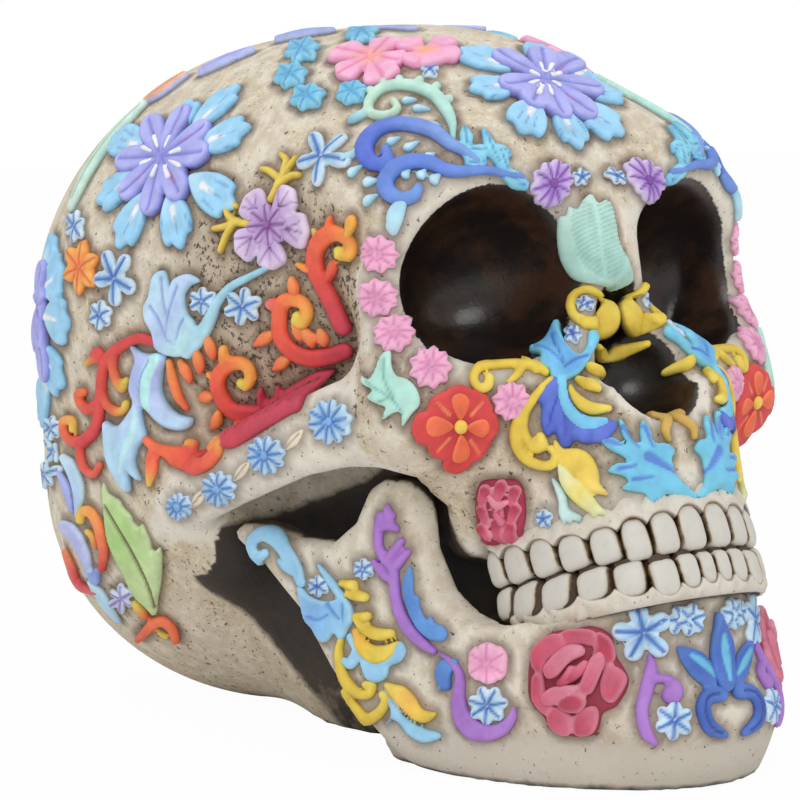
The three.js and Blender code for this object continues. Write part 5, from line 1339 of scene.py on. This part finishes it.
rosebudDrawing = [(bud, [{"shapes": [area([(480, 483), (500, 479), (520, 482), (526, 502), (524, 528),
    (512, 541), (492, 542), (480, 530), (476, 506)], "#93283d", "#a8304a", high=1.0)]},
    {"shapes": [line([a, b], [wide, wide * 0.8], "#b43650", "#d2607a", rim="#e591a5", rimWide=0.4,
    high=1.1) for a, b, wide in budLobes], "lift": 0.7}, {"shapes": [line([(492, 494), (500, 503),
    (510, 500)], [0.5, 0.9, 0.5], "#e38da2", high=0.7), line([(499, 512), (505, 520)], [0.6, 0.9],
    "#d9708a", high=0.7)], "lift": 1.5}])]
makeRelief("rosebud", "rose", ["rosebud"], "skull", rosebudDrawing)
archMarks = [((332, 422), 22), ((268, 455), 19), ((221, 488), 17), ((181, 506), 13)]
archFlowersDrawing = ([(c, [{"shapes": petals(c, ringTips(c, 10, r, 10), 0.0, r * 0.105, "round", "#3f72bf",
    "#92bfe9", "#c6e1f6", rim="#c9e5fa", core=(0.32, "#3f72bf", 0.35), high=1.5)},
    {"shapes": [dot(c, 0.85, "#82b3e7", high=0.8)], "lift": 1.0}]) for c,
    r in archMarks] + [((x, y), [{"shapes": [line([(x - 7, y + 8), (x, y), (x + 8, y - 9)], [0.4, 1.1, 0.3],
    "#e1d5c0", "#ede3d0", core=(0.2, "#a28c70", 0.25), high=0.9)]}]) for x,
    y in ((295, 440), (243, 471), (200, 498))])
makeRelief("archFlowers", "sky", ["arch_flower"], "skull", archFlowersDrawing)
print("face relief is done")


# Relief low on the braincase and on the jaw.
greenLeafDrawing = [((135, 550), [{"shapes": [area([(105, 483), (110, 493), (121, 500), (124, 506),
    (132, 515), (135, 522), (142, 527), (144, 524), (151, 539), (154, 552), (161, 547), (163, 562),
    (162, 582), (159, 598), (157, 613), (147, 604), (135, 592), (126, 573), (116, 554), (110, 538),
    (107, 515)], "#cfe3ab", leafGreen, "#c6dca2", rim="#d3e6b4", high=1.5)],
    "veins": [line([(109, 505), (121, 526), (135, 550), (147, 574), (154, 592), (157, 604)],
    [0.35, 0.4, 0.3], "#6b5a34", deep=0.7)]}])]
makeRelief("greenLeaf", "green", ["green_leaf"], "skull", greenLeafDrawing)
paleFrondsDrawing = [((75, 500), [{"shapes": [line([(66, 458), (73, 467), (79, 481), (81, 496), (80, 516)],
    [1.0, 1.9, 2.1, 1.6, 0.5], "#cbeafa", "#b6d9f7", "#adc5f1", rim="#ccebf9", high=1.5),
    line([(62, 474), (69, 490), (74, 510)], [0.8, 1.5, 0.5], "#b6bff7", "#a6b1ef", high=1.3)]}]),
    ((80, 545), [{"shapes": [line([(66, 526), (76, 534), (84, 547), (89, 560), (91, 574)],
    [1.4, 2.4, 2.3, 1.4, 0.5], "#c1c6f5", "#b6bff5", "#afc5f3", rim="#cedefa", high=1.5),
    line([(90, 571), (96, 578), (99, 570)], [1.2, 1.4, 0.8], "#9bafe9", "#8ba3e3", high=1.2)]}]),
    ((105, 600), [{"shapes": [line([(92, 580), (101, 592), (110, 606), (121, 620)], [0.6, 2.0, 1.9, 0.5],
    "#c5e9f5", "#acd3f3", rim="#c3e5f7", high=1.4)]}])]
makeRelief("paleFronds", "sky", [], "skull", paleFrondsDrawing)
amberScrollsDrawing = [((95, 535), [{"shapes": [line([(104, 568), (106, 553), (104, 538), (100, 523),
    (93, 512), (85, 511), (83, 519)], [0.7, 1.1, 1.3, 1.3, 1.2, 1.1, 1.0], scarlet, "#f78153", "#f7a657",
    yellow), line([(97, 545), (94, 536), (89, 531)], [0.6, 0.9, 0.6], "#ef854b", yellow, high=1.2)]}]),
    ((155, 622), [{"shapes": [line([(140, 637), (148, 629), (156, 621), (166, 620), (174, 628), (177, 638)],
    [0.8, 1.1, 1.2, 1.2, 1.1, 0.9], "#e9604c", "#f77e53", "#f77853"),
    line([(147, 614), (142, 608), (138, 602)], [0.8, 1.4, 1.0], "#e16d4a", yellow),
    line([(166, 634), (161, 631)], [1.0, 0.7], yellow, high=1.1)]}]),
    ((77, 570), [{"shapes": [line([(68, 550), (74, 565), (81, 582), (88, 600)], [0.6, 1.8, 1.6, 0.5],
    "#f7976a", "#e15357", "#da666a")]}])]
makeRelief("amberScrolls", "coral", [], "skull", amberScrollsDrawing)
lilacStarDrawing = [starFlower((123, 597), 14, 90, 2.6, 6, 0.9, 0, "#d6caf5", "#8470c7")]
makeRelief("lilacStar", "violet", [], "skull", lilacStarDrawing)

vineMain = [(383, 516), (380, 532), (380, 545), (385, 556), (394, 568), (396, 580), (397, 596), (402, 614),
    (411, 630), (424, 643), (435, 651)]
jawVineDrawing = [((398, 580), [{"shapes": [line(vineMain,
    [1.1, 1.1, 1.0, 1.0, 1.05, 1.1, 1.2, 1.35, 1.4, 1.2, 0.7], "#af7ad0", "#b17fd4", "#a572c6", high=1.5),
    area([(388, 503), (393, 510), (397, 516), (394, 520), (400, 527), (399, 532), (390, 530), (384, 531),
    (380, 526), (377, 517), (386, 518), (386, 510)], "#b17fd4", "#a572c6", high=1.5),
    line([(386, 561), (393, 554), (402, 541)], [0.8, 0.9, 0.7], "#af7ad0", high=1.4),
    line([(396, 568), (401, 561), (408, 552)], [0.9, 1.0, 0.7], "#af7ad0", high=1.4),
    line([(394, 581), (384, 573), (375, 561)], [0.8, 1.0, 0.6], "#af7ad0", high=1.4)]}])]
makeRelief("jawVine", "violet", ["jaw_vine"], "jaw", jawVineDrawing)
jawLeafDrawing = [((420, 605), [{"shapes": [area([(410, 566), (414, 576), (414, 587), (416, 597),
    (419, 596), (421, 606), (425, 616), (429, 620), (432, 616), (436, 623), (444, 626), (448, 634),
    (443, 641), (429, 638), (417, 626), (408, 606), (404, 586)], "#6095da", "#5588d2", "#6298de", high=1.3,
    rim="#72a5e5")]},]), ((448, 677), [{"shapes": [line([(455, 663), (447, 667), (444, 676), (447, 684)],
    [1.0, 1.8, 1.9, 1.3], "#6095da", "#547fca", high=1.2),
    line([(446, 684), (440, 688)], [0.8, 0.4], "#73a6de", high=1.0)]}])]
makeRelief("jawLeaf", "ink", [], "jaw", jawLeafDrawing)
jawCrescentDrawing = [((480, 705), [{"shapes": [area([(438, 652), (450, 656), (461, 666), (466, 679),
    (466, 697), (471, 712), (483, 723), (497, 724), (508, 717), (515, 706), (517, 719), (507, 734),
    (488, 741), (470, 738), (457, 724), (453, 706), (455, 688), (457, 676), (453, 667), (446, 659)],
    "#ad7ece", "#a572c6", "#b281d4", high=1.5, round=1.0)]}])]
makeRelief("jawCrescent", "violet", ["jaw_crescent"], "jaw", jawCrescentDrawing)
jawStarsDrawing = [((489, 663), [{"shapes": petals((489, 663), ringTips((489, 663), 6, 21, 30), 0.0, 3.9,
    "kite", "#df8cb8", pink, "#f7c3db", rim="#f7b6d5", core=(0.3, "#e18eba", 0.3), high=1.3)}]),
    starFlower((489, 705), 20, 60, 3.3, 7), starFlower((320, 586), 11, 90, 2.2, 6),
    starFlower((365, 569), 11, 90, 2.2, 6)]
makeRelief("jawStars", "pink", [], "jaw", jawStarsDrawing)
fan = [area([(359, 636), (366, 644), (378, 652), (392, 650), (401, 641), (407, 650), (402, 661), (391, 666),
    (388, 677), (379, 682), (369, 679), (364, 668), (361, 654)], "#a5d8f7", "#9dd2f5", "#92c8ef",
    rim="#afdff9", high=1.4), line([(352, 637), (359, 650), (352, 663), (345, 660)], [0.9, 1.3, 1.2, 0.7],
    sky, rim="#afdff9", high=1.3)]
ribs = [line([(344, 583), (355, 585)], [0.7, 1.1], *gold),
    line([(349, 594), (358, 595), (367, 597)], [0.6, 1.2, 0.9], *gold),
    line([(358, 616), (369, 616)], [0.8, 1.0], *gold), line([(358, 620), (368, 629), (380, 634),
    (393, 633)], [0.5, 1.2, 1.3, 0.9], *gold), line([(358, 630), (364, 645), (377, 654), (391, 651),
    (399, 643)], [0.6, 1.5, 1.9, 1.5, 0.5], "#efb34b", "#e9cd4c", "#f1d866", high=1.9),
    line([(343, 640), (341, 652), (343, 668), (349, 682), (361, 693), (371, 693), (374, 685), (368, 684)],
    [0.6, 0.9, 1.1, 1.2, 1.1, 1.0, 0.9, 0.8], *gold), line([(346, 690), (354, 706), (367, 718), (380, 713),
    (388, 701), (385, 694)], [0.8, 1.2, 1.2, 1.1, 1.0, 0.9], *gold)]
tail = [area([(386, 683), (397, 684), (406, 687), (416, 697), (424, 709), (438, 713), (429, 722),
    (417, 720), (406, 710), (395, 698)], "#efd763", "#f5c359", "#e9cd4c", high=1.6),
    area([(385, 689), (393, 699), (402, 712), (412, 721), (426, 728), (439, 732), (441, 738), (425, 742),
    (411, 735), (402, 724), (394, 719), (388, 724), (393, 712)], "#add2f5", "#97cff1", "#a0d6f3", high=1.3)]
jawFrondsDrawing = [((280, 555), [{"shapes": [line([(303, 582), (297, 566), (287, 551), (276, 539),
    (264, 535), (254, 542), (253, 552), (260, 558), (267, 553)],
    [1.1, 1.5, 1.5, 1.5, 1.4, 1.4, 1.3, 1.2, 0.9], "#98cef1", "#a0d6f7", rim="#b3e1fa", high=1.5),
    line([(294, 570), (286, 565), (281, 560)], [1.2, 1.1, 0.5], "#98cef1", high=1.2)]}]),
    ((328, 612), [{"shapes": [area([(300, 584), (310, 595), (325, 601), (338, 599), (344, 594), (352, 603),
    (355, 618), (350, 629), (343, 640), (336, 633), (329, 641), (322, 640), (315, 628), (309, 620),
    (304, 606)], "#9ed0f5", "#83b6eb", "#9dd6f7", rim="#b0dffa", rimWide=0.8, high=1.5),
    line([(343, 596), (331, 580), (320, 565)], [1.0, 0.8, 0.3], "#9dd3f5", high=1.3)],
    "veins": [line([(311, 616), (322, 619), (332, 614)], [0.4, 0.2], "#6495d6", deep=0.4),
    line([(331, 603), (338, 613), (343, 618)], [0.5, 0.3], "#6495d6", deep=0.4),
    line([(346, 604), (347, 620)], [0.3, 0.2], "#6495d6", deep=0.4)]}]),
    ((380, 650), [{"shapes": fan}, {"shapes": ribs}]), ((410, 712), [{"shapes": tail}])]
makeRelief("jawFronds", "sky", ["jaw_leaf"], "jaw", jawFrondsDrawing)
roseCentre = (577, 684)
rosePetal = dict(rim="#e08ba1", rimWide=0.7, hollow=0.5, round=1.1)
jawRoseDrawing = [(roseCentre, [{"shapes": [area([(529, 680), (531, 660), (541, 641), (554, 632),
    (574, 629), (593, 626), (611, 635), (616, 655), (629, 680), (618, 704), (603, 713), (597, 732),
    (578, 736), (553, 731), (545, 717), (531, 700)], "#8c2438", "#9c2d44", high=1.0)]},
    {"shapes": [area([(536, 668), (533, 652), (545, 638), (560, 636), (566, 648), (550, 660), (545, 672)],
    "#bf425b", "#cb5d77", **rosePetal), area([(566, 648), (562, 634), (580, 629), (596, 632), (596, 646),
    (580, 646)], "#bf425b", "#cb5d77", **rosePetal), area([(594, 648), (598, 632), (612, 640), (615, 660),
    (602, 666), (592, 658)], "#b43a53", "#bf425b", **rosePetal),
    area([(604, 700), (600, 684), (606, 666), (618, 668), (628, 681), (616, 702)], "#bf425b", "#cf6c85",
    **rosePetal), area([(534, 690), (536, 674), (545, 674), (548, 692), (556, 704), (548, 714), (536, 702)],
    "#bf425b", "#cb5d77", **rosePetal), area([(549, 718), (556, 706), (570, 710), (574, 722), (570, 734),
    (556, 731)], "#bf425b", "#cf6c85", **rosePetal), area([(575, 722), (580, 710), (596, 706), (600, 716),
    (594, 731), (578, 734)], "#bf425b", "#cf6c85", **rosePetal)], "lift": 0.7},
    {"shapes": [area([(547, 667), (556, 655), (569, 647), (582, 648), (584, 655), (571, 662), (560, 675),
    (551, 677)], "#cb5d77", "#dc8ca3", **rosePetal), area([(581, 690), (584, 672), (590, 658), (600, 652),
    (605, 662), (600, 676), (592, 694)], "#c24f6c", "#d67c93", **rosePetal),
    area([(545, 697), (553, 687), (568, 684), (582, 686), (574, 696), (560, 703), (549, 704)], "#cb5d77",
    "#dc8ca3", **rosePetal), area([(561, 705), (566, 695), (578, 692), (588, 700), (584, 710), (570, 711)],
    "#ad3850", "#bd4a62", **rosePetal)], "lift": 1.5}, {"shapes": [line([(572, 678), (578, 672),
    (584, 664)], [0.9, 1.1, 0.7], "#b23e57", "#d8748b", high=0.9),
    line([(564, 682), (570, 676), (572, 668)], [0.8, 1.0, 0.6], "#b23e57", "#d8748b", high=0.8)],
    "lift": 2.1}])]
makeRelief("jawRose", "rose", ["jaw_rose"], "jaw", jawRoseDrawing)
jawFlowersDrawing = [givenFlower((643, 632), [(636, 604), (668, 616), (665, 655), (629, 660), (612, 631)],
    4.7), starFlower((689, 619), 17, 80, 3.2, 6, 0.9), starFlower((673, 720), 19, 85, 3.4, 6),
    starFlower((736, 612), 14, 85, 3.0, 5, 0.7)]
makeRelief("jawFlowers", "sky", ["jaw_flower"], "jaw", jawFlowersDrawing)
jawCurlDrawing = [((655, 695), [{"shapes": [line([(649, 656), (651, 668), (647, 689), (642, 711),
    (646, 731), (655, 742)], [0.4, 1.2, 1.4, 1.2, 1.2, 0.5], "#a572c6", "#b17fd4", high=1.4),
    line([(649, 681), (659, 679), (669, 681), (676, 688), (674, 697), (667, 697), (667, 691)],
    [1.0, 0.9, 1.0, 1.2, 1.2, 1.1, 0.8], "#a977ca", high=1.3)]}])]
makeRelief("jawCurl", "violet", [], "jaw", jawCurlDrawing)
deepBlue = ["#547cca", "#4264bb", "#5378c6"]
chinLilyDrawing = [((722, 680), [{"shapes": [line([(719, 694), (706, 697), (702, 710), (709, 726),
    (724, 734)], [1.6, 1.5, 1.5, 1.4, 0.6], *deepBlue, high=1.5, core=(0.3, "#2c458c", 0.35)),
    line([(736, 691), (750, 693), (757, 705), (755, 720), (742, 732)], [1.6, 1.5, 1.5, 1.4, 0.6], *deepBlue,
    high=1.5, core=(0.3, "#2c458c", 0.35)), area([(676, 648), (688, 648), (700, 653), (710, 665),
    (714, 680), (713, 692), (702, 686), (687, 672)], *deepBlue, high=1.6, rim="#608cd6"),
    area([(748, 641), (748, 660), (743, 678), (735, 690), (729, 686), (731, 668), (738, 650)], *deepBlue,
    high=1.6, rim="#608cd6")], "veins": [line([(689, 657), (700, 665), (711, 678)], [0.5, 0.85, 0.3],
    "#6dbfe3", deep=0.2), line([(745, 652), (740, 663), (733, 676)], [0.5, 0.75, 0.3], "#6dbfe3",
    deep=0.2)]}, {"shapes": [area([(715, 612), (722, 627), (728, 645), (730, 667), (730, 686), (724, 693),
    (717, 687), (710, 671), (709, 648), (712, 628)], *deepBlue, high=1.7, rim="#608cd6")],
    "veins": [line([(717, 636), (719, 655), (724, 682)], [0.5, 1.0, 0.4], "#6dbfe3", deep=0.2)],
    "lift": 0.5}])]
makeRelief("chinLily", "ink", ["chin_lily"], "jaw", chinLilyDrawing, both=False)
print("jaw relief is done")


# Teeth.
# Crowns from the middle of the mouth back, width and height in millimetres. Square holds how square
# a crown is across, in depth and at its biting and gum ends. Narrow and thin say how it tapers.
crowns = {"upper": [(6.8, 10.0), (6.3, 9.2), (6.2, 9.0), (6.7, 7.9), (7.1, 7.8), (7.2, 8.4), (7.4, 8.4),
    (5, 8.2)], "lower": [(4.2, 7.5), (5, 8.0), (6.5, 8.8), (7.2, 7.8), (8, 7.0), (8.5, 7.5), (7.8, 7.6),
    (5.2, 6.6)], "drop": [0, 0, 0.5, 0, 0, 0, 0, 0], "depth": 5.6, "proud": {"upper": 0.75, "lower": 0.45},
    "gap": 0.12, "shrink": 0.955, "rings": 16, "ribs": 24, "lean": [0, 0, 0, 0.06, 0.16, 0.3, 0.42, 0.3],
    "bite": (-49.4, -55.4), "square": (0.6, 0.5, 0.48, 0.8), "narrow": (0.3, 1.5), "thin": (0.12, 3),
    "sideWashShade": (0.6, 0.93), "neckWashShade": (0.6, 0.95, 0.8), "tipWashShade": (0.9, 1.0)}
archShape = {"power": 0.8, "step": 0.002, "probe": 0.02, "stop": 0.003}


def archPlace(turn):
    x = dentalArch["halfWidth"] * math.sin(turn) ** archShape["power"]
    along = max(0.0, math.cos(turn)) ** archShape["power"]
    return np.array([x, dentalArch["from"] + (dentalArch["reach"] - dentalArch["from"]) * along])


def archStation(distance):  # place and heading at a distance round the arch
    gone, turn, here = 0.0, 0.0, archPlace(0.0)
    while gone < distance and turn < math.pi / 2 - archShape["stop"]:
        turn += archShape["step"]
        following = archPlace(turn)
        gone += np.linalg.norm(following - here)
        here = following
    probe = archShape["probe"]
    heading = archPlace(min(turn + probe, math.pi / 2)) - archPlace(max(turn - probe, 0.0))
    return here, heading / np.linalg.norm(heading)


def addCrown(shape, row, k, distance):
    wide, tall = crowns[row][k]
    at, along = archStation(distance)
    outward = np.array([-along[1], along[0]])
    sign = 1 if row == "upper" else -1
    level = np.interp(at[1], [dentalArch["from"], dentalArch["reach"]], crowns["bite"])
    washAndShade = shape.verts.layers.float["washAndShade"]
    made = bmesh.ops.create_uvsphere(shape, u_segments=crowns["ribs"], v_segments=crowns["rings"], radius=1)
    lean = crowns["lean"][k] if row == "lower" else 0.0
    level -= crowns["drop"][k]  # the canine reaches lowest
    squareAcross, squareDeep, squareBite, squareNeck = crowns["square"]
    narrow, narrowPower = crowns["narrow"]
    thin, thinPower = crowns["thin"]
    neckFrom, neckTo, neckShare = crowns["neckWashShade"]
    for v in made["verts"]:
        u, w, neck = v.co  # neck is 1 at the gum and -1 at the biting edge
        power = squareBite if neck < 0 else squareNeck
        taper = 1 - narrow * max(0, neck) ** narrowPower
        across = math.copysign(abs(u) ** squareAcross, u) * wide / 2 * crowns["shrink"] * taper
        taper = 1 - thin * abs(neck) ** thinPower
        out = math.copysign(abs(w) ** squareDeep, w) * crowns["depth"] / 2 * taper
        rise = math.copysign(abs(neck) ** power, neck) * tall / 2
        middle = at + outward * (out + crowns["proud"][row] - crowns["depth"] / 2) + along * (
            across + lean * (rise + tall / 2))
        height = level + sign * (crowns["gap"] + tall / 2 + rise)
        v.co = toTable([(middle[0], middle[1], height)])[0] / 1000
        # painted shade with the wash: each crown darker towards its sides and ends, where it meets its
        # neighbours and the gum
        side = fade(np.array(abs(u)), *crowns["sideWashShade"])
        ends = fade(np.array(neck), neckFrom, neckTo) * neckShare + fade(np.array(-neck), *crowns["tipWashShade"])
        v[washAndShade] = float(max(side, ends))


def makeTeeth(row):
    shape = bmesh.new()
    shape.verts.layers.float.new("washAndShade")
    distance = 0.0
    for k, (wide, tall) in enumerate(crowns[row]):
        addCrown(shape, row, k, distance + wide / 2)
        distance += wide
    everything = shape.verts[:] + shape.edges[:] + shape.faces[:]
    bmesh.ops.mirror(shape, geom=everything, axis="X", merge_dist=0.0)
    bmesh.ops.recalc_face_normals(shape, faces=shape.faces[:])
    mesh = bpy.data.meshes.new(row + "Crowns")
    shape.to_mesh(mesh)
    shape.free()
    mesh.polygons.foreach_set("use_smooth", [True] * len(mesh.polygons))
    mesh.materials.append(paints["ivory"])
    newObject(row + "Crowns", mesh, "ivory")
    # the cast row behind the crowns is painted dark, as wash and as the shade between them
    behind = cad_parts[row + "_teeth"]
    behind.data.materials.clear()
    behind.data.materials.append(paints["core"])


gum = {"upper": (0.3, -0.26), "lower": (0.15, -0.42), "behind": 3.4, "deep": 2.4, "sunk": 0.8, "over": 0.7,
    "scallop": 2.0, "scallopPower": 2.4, "taper": 12, "smooth": 0.8, "stipple": 0.08, "recessShade": 0.9,
    "near": (0.9, 0.1, 0.3), "ribs": 14, "rings": 168}


# how far from the bite the gum's lip runs: high over each crown, low between two
def gumLine(row, distance):
    edges = np.concatenate([[0], np.cumsum([wide for wide, tall in crowns[row]])])
    middles = (edges[1:] + edges[:-1]) / 2
    k = min(np.searchsorted(edges, distance, "right") - 1, len(middles) - 1)
    share = abs(distance - middles[k]) / (edges[k + 1] - edges[k]) * 2
    tall = np.interp(distance, middles, [tall for wide, tall in crowns[row]])
    return crowns["gap"] + tall - gum["over"] - gum["scallop"] * min(share, 1.0) ** gum["scallopPower"]


def makeGum(row):  # the scalloped lip of the casting that the crowns stand in
    shape = bmesh.new()
    layers = {name: shape.verts.layers.float.new(name) for name in ("socket", "smooth", "stipple", "recessShade",
        "near")}
    made = bmesh.ops.create_uvsphere(shape, u_segments=gum["ribs"], v_segments=gum["rings"], radius=1)
    total = sum(wide for wide, tall in crowns[row])
    lip, slope = gum[row]
    sign = 1 if row == "upper" else -1
    washedAndShaded, clean, lipDeep = gum["near"]
    for v in made["verts"]:
        way = 2 * math.acos(max(-1, min(1, v.co.z))) / math.pi - 1
        size = min(1.0, math.hypot(v.co.x, v.co.y) * gum["taper"])
        turn = math.atan2(v.co.y, v.co.x)
        c, s = math.cos(turn), math.sin(turn)
        aside, rise = math.copysign(abs(c) ** 0.5, c) * size, math.copysign(abs(s) ** 0.5, s) * size
        at, along = archStation(abs(way) * total)
        outward = np.array([-along[1], along[0]])
        level = np.interp(at[1], [dentalArch["from"], dentalArch["reach"]], crowns["bite"])
        deep = gum["deep"] * (1 - rise)
        outer, inner = crowns["proud"][row] + lip + slope * deep, crowns["proud"][row] - gum["behind"]
        place = at + outward * ((outer + inner) / 2 + (outer - inner) / 2 * aside)
        height = level + sign * (gumLine(row, abs(way) * total) + deep)
        if row == "lower":  # it stands on the top of the jaw
            height = max(height, np.interp(place[1], jaw["top"][2:], jaw["top"][:2]) - gum["sunk"])
        v.co = toTable([(math.copysign(place[0], way), place[1], height)])[0] / 1000
        v[layers["smooth"]] = gum["smooth"]
        v[layers["stipple"]] = gum["stipple"]
        # painted shade on the gum's inner side, behind the crowns
        v[layers["recessShade"]] = gum["recessShade"] if aside < 0 else 0
        # painted crease shade with the wash along the gum's lip, where the crowns stand
        v[layers["near"]] = washedAndShaded if deep < lipDeep else clean
    bmesh.ops.recalc_face_normals(shape, faces=shape.faces[:])
    mesh = bpy.data.meshes.new(row + "Gum")
    shape.to_mesh(mesh)
    shape.free()
    mesh.polygons.foreach_set("use_smooth", [True] * len(mesh.polygons))
    mesh.materials.append(paints["resin"])
    newObject(row + "Gum", mesh, "bone")


for row in ("upper", "lower"):
    makeTeeth(row)
    makeGum(row)
print("teeth are in")


# Where the castings are smooth, speckled, given painted shade where they are hidden from the light, or
# painted dark, kept point by point.
# A pair says where a zone begins and where it is whole, in millimetres from the shape that it follows
# or along the skull's axes.
zones = {"rays": 12, "reach": 34.0, "off": 0.6, "turns": 3, "temple": ((56, 32, 14), (24, 30, 36)),
    "templeFade": (5, -7), "halo": (2.4, 0.5), "faceFrom": 30, "eye": (1.5, 0.3), "eyeRim": (7.5, 4.0),
    "eyeRimFrom": 48, "eyeRimTop": (38, 30), "nose": (1.2, 0.2), "noseRim": (4.0, 2.0),
    "archEdge": (2.8, 1.2), "postEdge": (2.2, 0.6), "palate": (-36, -40), "palateShare": 0.9,
    "templeLow": (-16, -12), "lowFace": (10, -30), "stipple": (0.12, 0.34, 0.1), "hidden": (0.5, 0.95),
    "jawHidden": (0.55, 0.95), "jawFoot": (14, 7), "jawDarkerLow": (17, 9), "jawDarkerLowShare": 0.5, "jawSmooth": 0.5,
    "jawStipple": (0.16, 0.1), "foot": (2.0, 0.3), "footShadeShare": 0.5, "recessShadeKept": 0.5, "nearKept": 0.3}
# the dark back of an eye socket: how it faces, and its box along the skull's axes
socketBack = {"fade": (7, 5), "faces": 0.1, "side": 44, "from": 44, "to": 66, "low": -10, "high": 26}
# the shade below the cheek's arch: where it begins and ends along the skull's axes
archShade = {"rear": (-27, -20), "front": (46, 41), "top": (-13, -18), "side": 50, "off": (0.8, 2.6),
    "lighter": 0.45, "below": (-40, -54)}


def shelter(points, normals):  # share of the sky that the castings hide from each point, which is painted on as shade
    trees = [carriers["skull"][0], carriers["jaw"][0]]
    golden = math.pi * (3 - math.sqrt(5))
    hidden = np.zeros(len(points))
    for i, (p, n) in enumerate(zip(points / 1000, normals)):
        normal, start = Vector(n), Vector(p + n * zones["off"] / 1000)
        aside = normal.orthogonal().normalized()
        other = normal.cross(aside)
        for k in range(zones["rays"]):
            r = math.sqrt((k + 0.5) / zones["rays"])
            a = golden * k + i
            way = aside * (r * math.cos(a)) + other * (r * math.sin(a)) + normal * math.sqrt(1 - r * r)
            if any(tree.ray_cast(start, way, zones["reach"] / 1000)[0] is not None for tree in trees):
                hidden[i] += 1 / zones["rays"]
    return hidden


def smoothed(mesh, values, turns):
    edges = np.zeros(len(mesh.edges) * 2, np.int32)
    mesh.edges.foreach_get("vertices", edges)
    a, b = edges.reshape(-1, 2).T
    count = np.bincount(np.concatenate([a, b]), minlength=len(values))
    for turn in range(turns):
        total = np.bincount(a, values[b], len(values)) + np.bincount(b, values[a], len(values))
        values = (values + total / np.maximum(count, 1)) / 2
    return values


def nearRelief(points, pieces):  # how closely each point lies to the edge of an ornament, where the wash and painted crease shade go
    shape = bmesh.new()
    for piece in pieces:
        shape.from_mesh(piece.data)
    tree = BVHTree.FromBMesh(shape)
    shape.free()
    reach = zones["halo"][0] / 1000
    found = [tree.find_nearest(Vector(p), reach)[3] for p in points / 1000]
    return fade(np.array([reach if d is None else d for d in found]) * 1000, *zones["halo"])


def dressCasting(item, onSkull):
    mesh = item.data
    p = coordinates(mesh)
    normals = np.zeros(len(p) * 3, np.float32)
    mesh.vertices.foreach_get("normal", normals)
    normals = normals.reshape(-1, 3).astype(float)
    hidden = smoothed(mesh, shelter(p, normals), zones["turns"])
    near = nearRelief(p, reliefPieces)
    q = toSkull(p)
    q[:, 0] = np.abs(q[:, 0])
    x, f, z = q.T
    if onSkull:
        eyeWall, noseWall = ball(q, orbit), join(ball(q, noseTop), ball(q, noseFoot), blend["noseParts"])
        face = f > zones["faceFrom"]
        s = socketBack
        forward = normals @ np.array([0, -tipCos, tipSin]) > s["faces"]
        inBox = (f < s["to"]) * (f > s["from"]) * (x < s["side"]) * (z > s["low"]) * (z < s["high"])
        deepest = fade(eyeWall, *s["fade"]) * forward * inBox
        openings = [fade(eyeWall, *zones["eye"]), fade(noseWall, *zones["nose"]), deepest]
        socket = np.maximum.reduce(openings) * face
        ring = fade(eyeWall, *zones["eyeRim"]) * (f > zones["eyeRimFrom"]) * fade(z, *zones["eyeRimTop"])
        edges = np.maximum.reduce([ring, fade(chain(q, arch), *zones["archEdge"]),
            fade(chain(q, cheekPost), *zones["postEdge"]), fade(noseWall, *zones["noseRim"])])
        palate = fade(z, *zones["palate"]) * face * zones["palateShare"]
        smooth = np.clip(np.maximum(edges, palate), 0, 1)
        side = fade(ball(q, zones["temple"]), *zones["templeFade"]) * (1 - smooth)
        side = side * fade(z, *zones["templeLow"])
        least, more, low = zones["stipple"]
        stipple = least + more * side + low * fade(z, *zones["lowFace"]) * (1 - smooth)
        s = archShade
        under = fade(f, *s["rear"]) * fade(f, *s["front"]) * fade(z, *s["top"]) * (x < s["side"])
        under = under * fade(chain(q, arch), *s["off"]) * (1 - s["lighter"] * fade(z, *s["below"]))
        kept = 1 - smooth * zones["recessShadeKept"]
        # painted shade where the castings hide the sky, and under the cheek's arch
        recessShade = np.maximum(np.clip(fade(hidden, *zones["hidden"]), 0, 1) * kept, under)
    else:
        socket = np.zeros(len(p))
        smooth = np.maximum(fade(p[:, 2], *zones["jawFoot"]), zones["jawSmooth"])
        most, less = zones["jawStipple"]
        stipple = most - less * smooth
        # painted shade where the castings hide the sky
        recessShade = fade(hidden, *zones["jawHidden"])
        # the jaw is darker towards the bottom
        near = np.maximum(near, fade(p[:, 2], *zones["jawDarkerLow"]) * zones["jawDarkerLowShare"])
    # painted shade along the foot, where the castings meet the floor
    recessShade = np.maximum(recessShade, fade(p[:, 2], *zones["foot"]) * zones["footShadeShare"])
    for name, values in (("socket", socket), ("smooth", smooth), ("stipple", stipple), ("recessShade", recessShade),
            ("near", near * (1 - zones["nearKept"] * smooth))):
        setAttribute(mesh, name, values)
    mesh.materials.append(paints["resin"])
    print(item.name, "is dressed")


dressCasting(skull, True)
dressCasting(jawPiece, False)
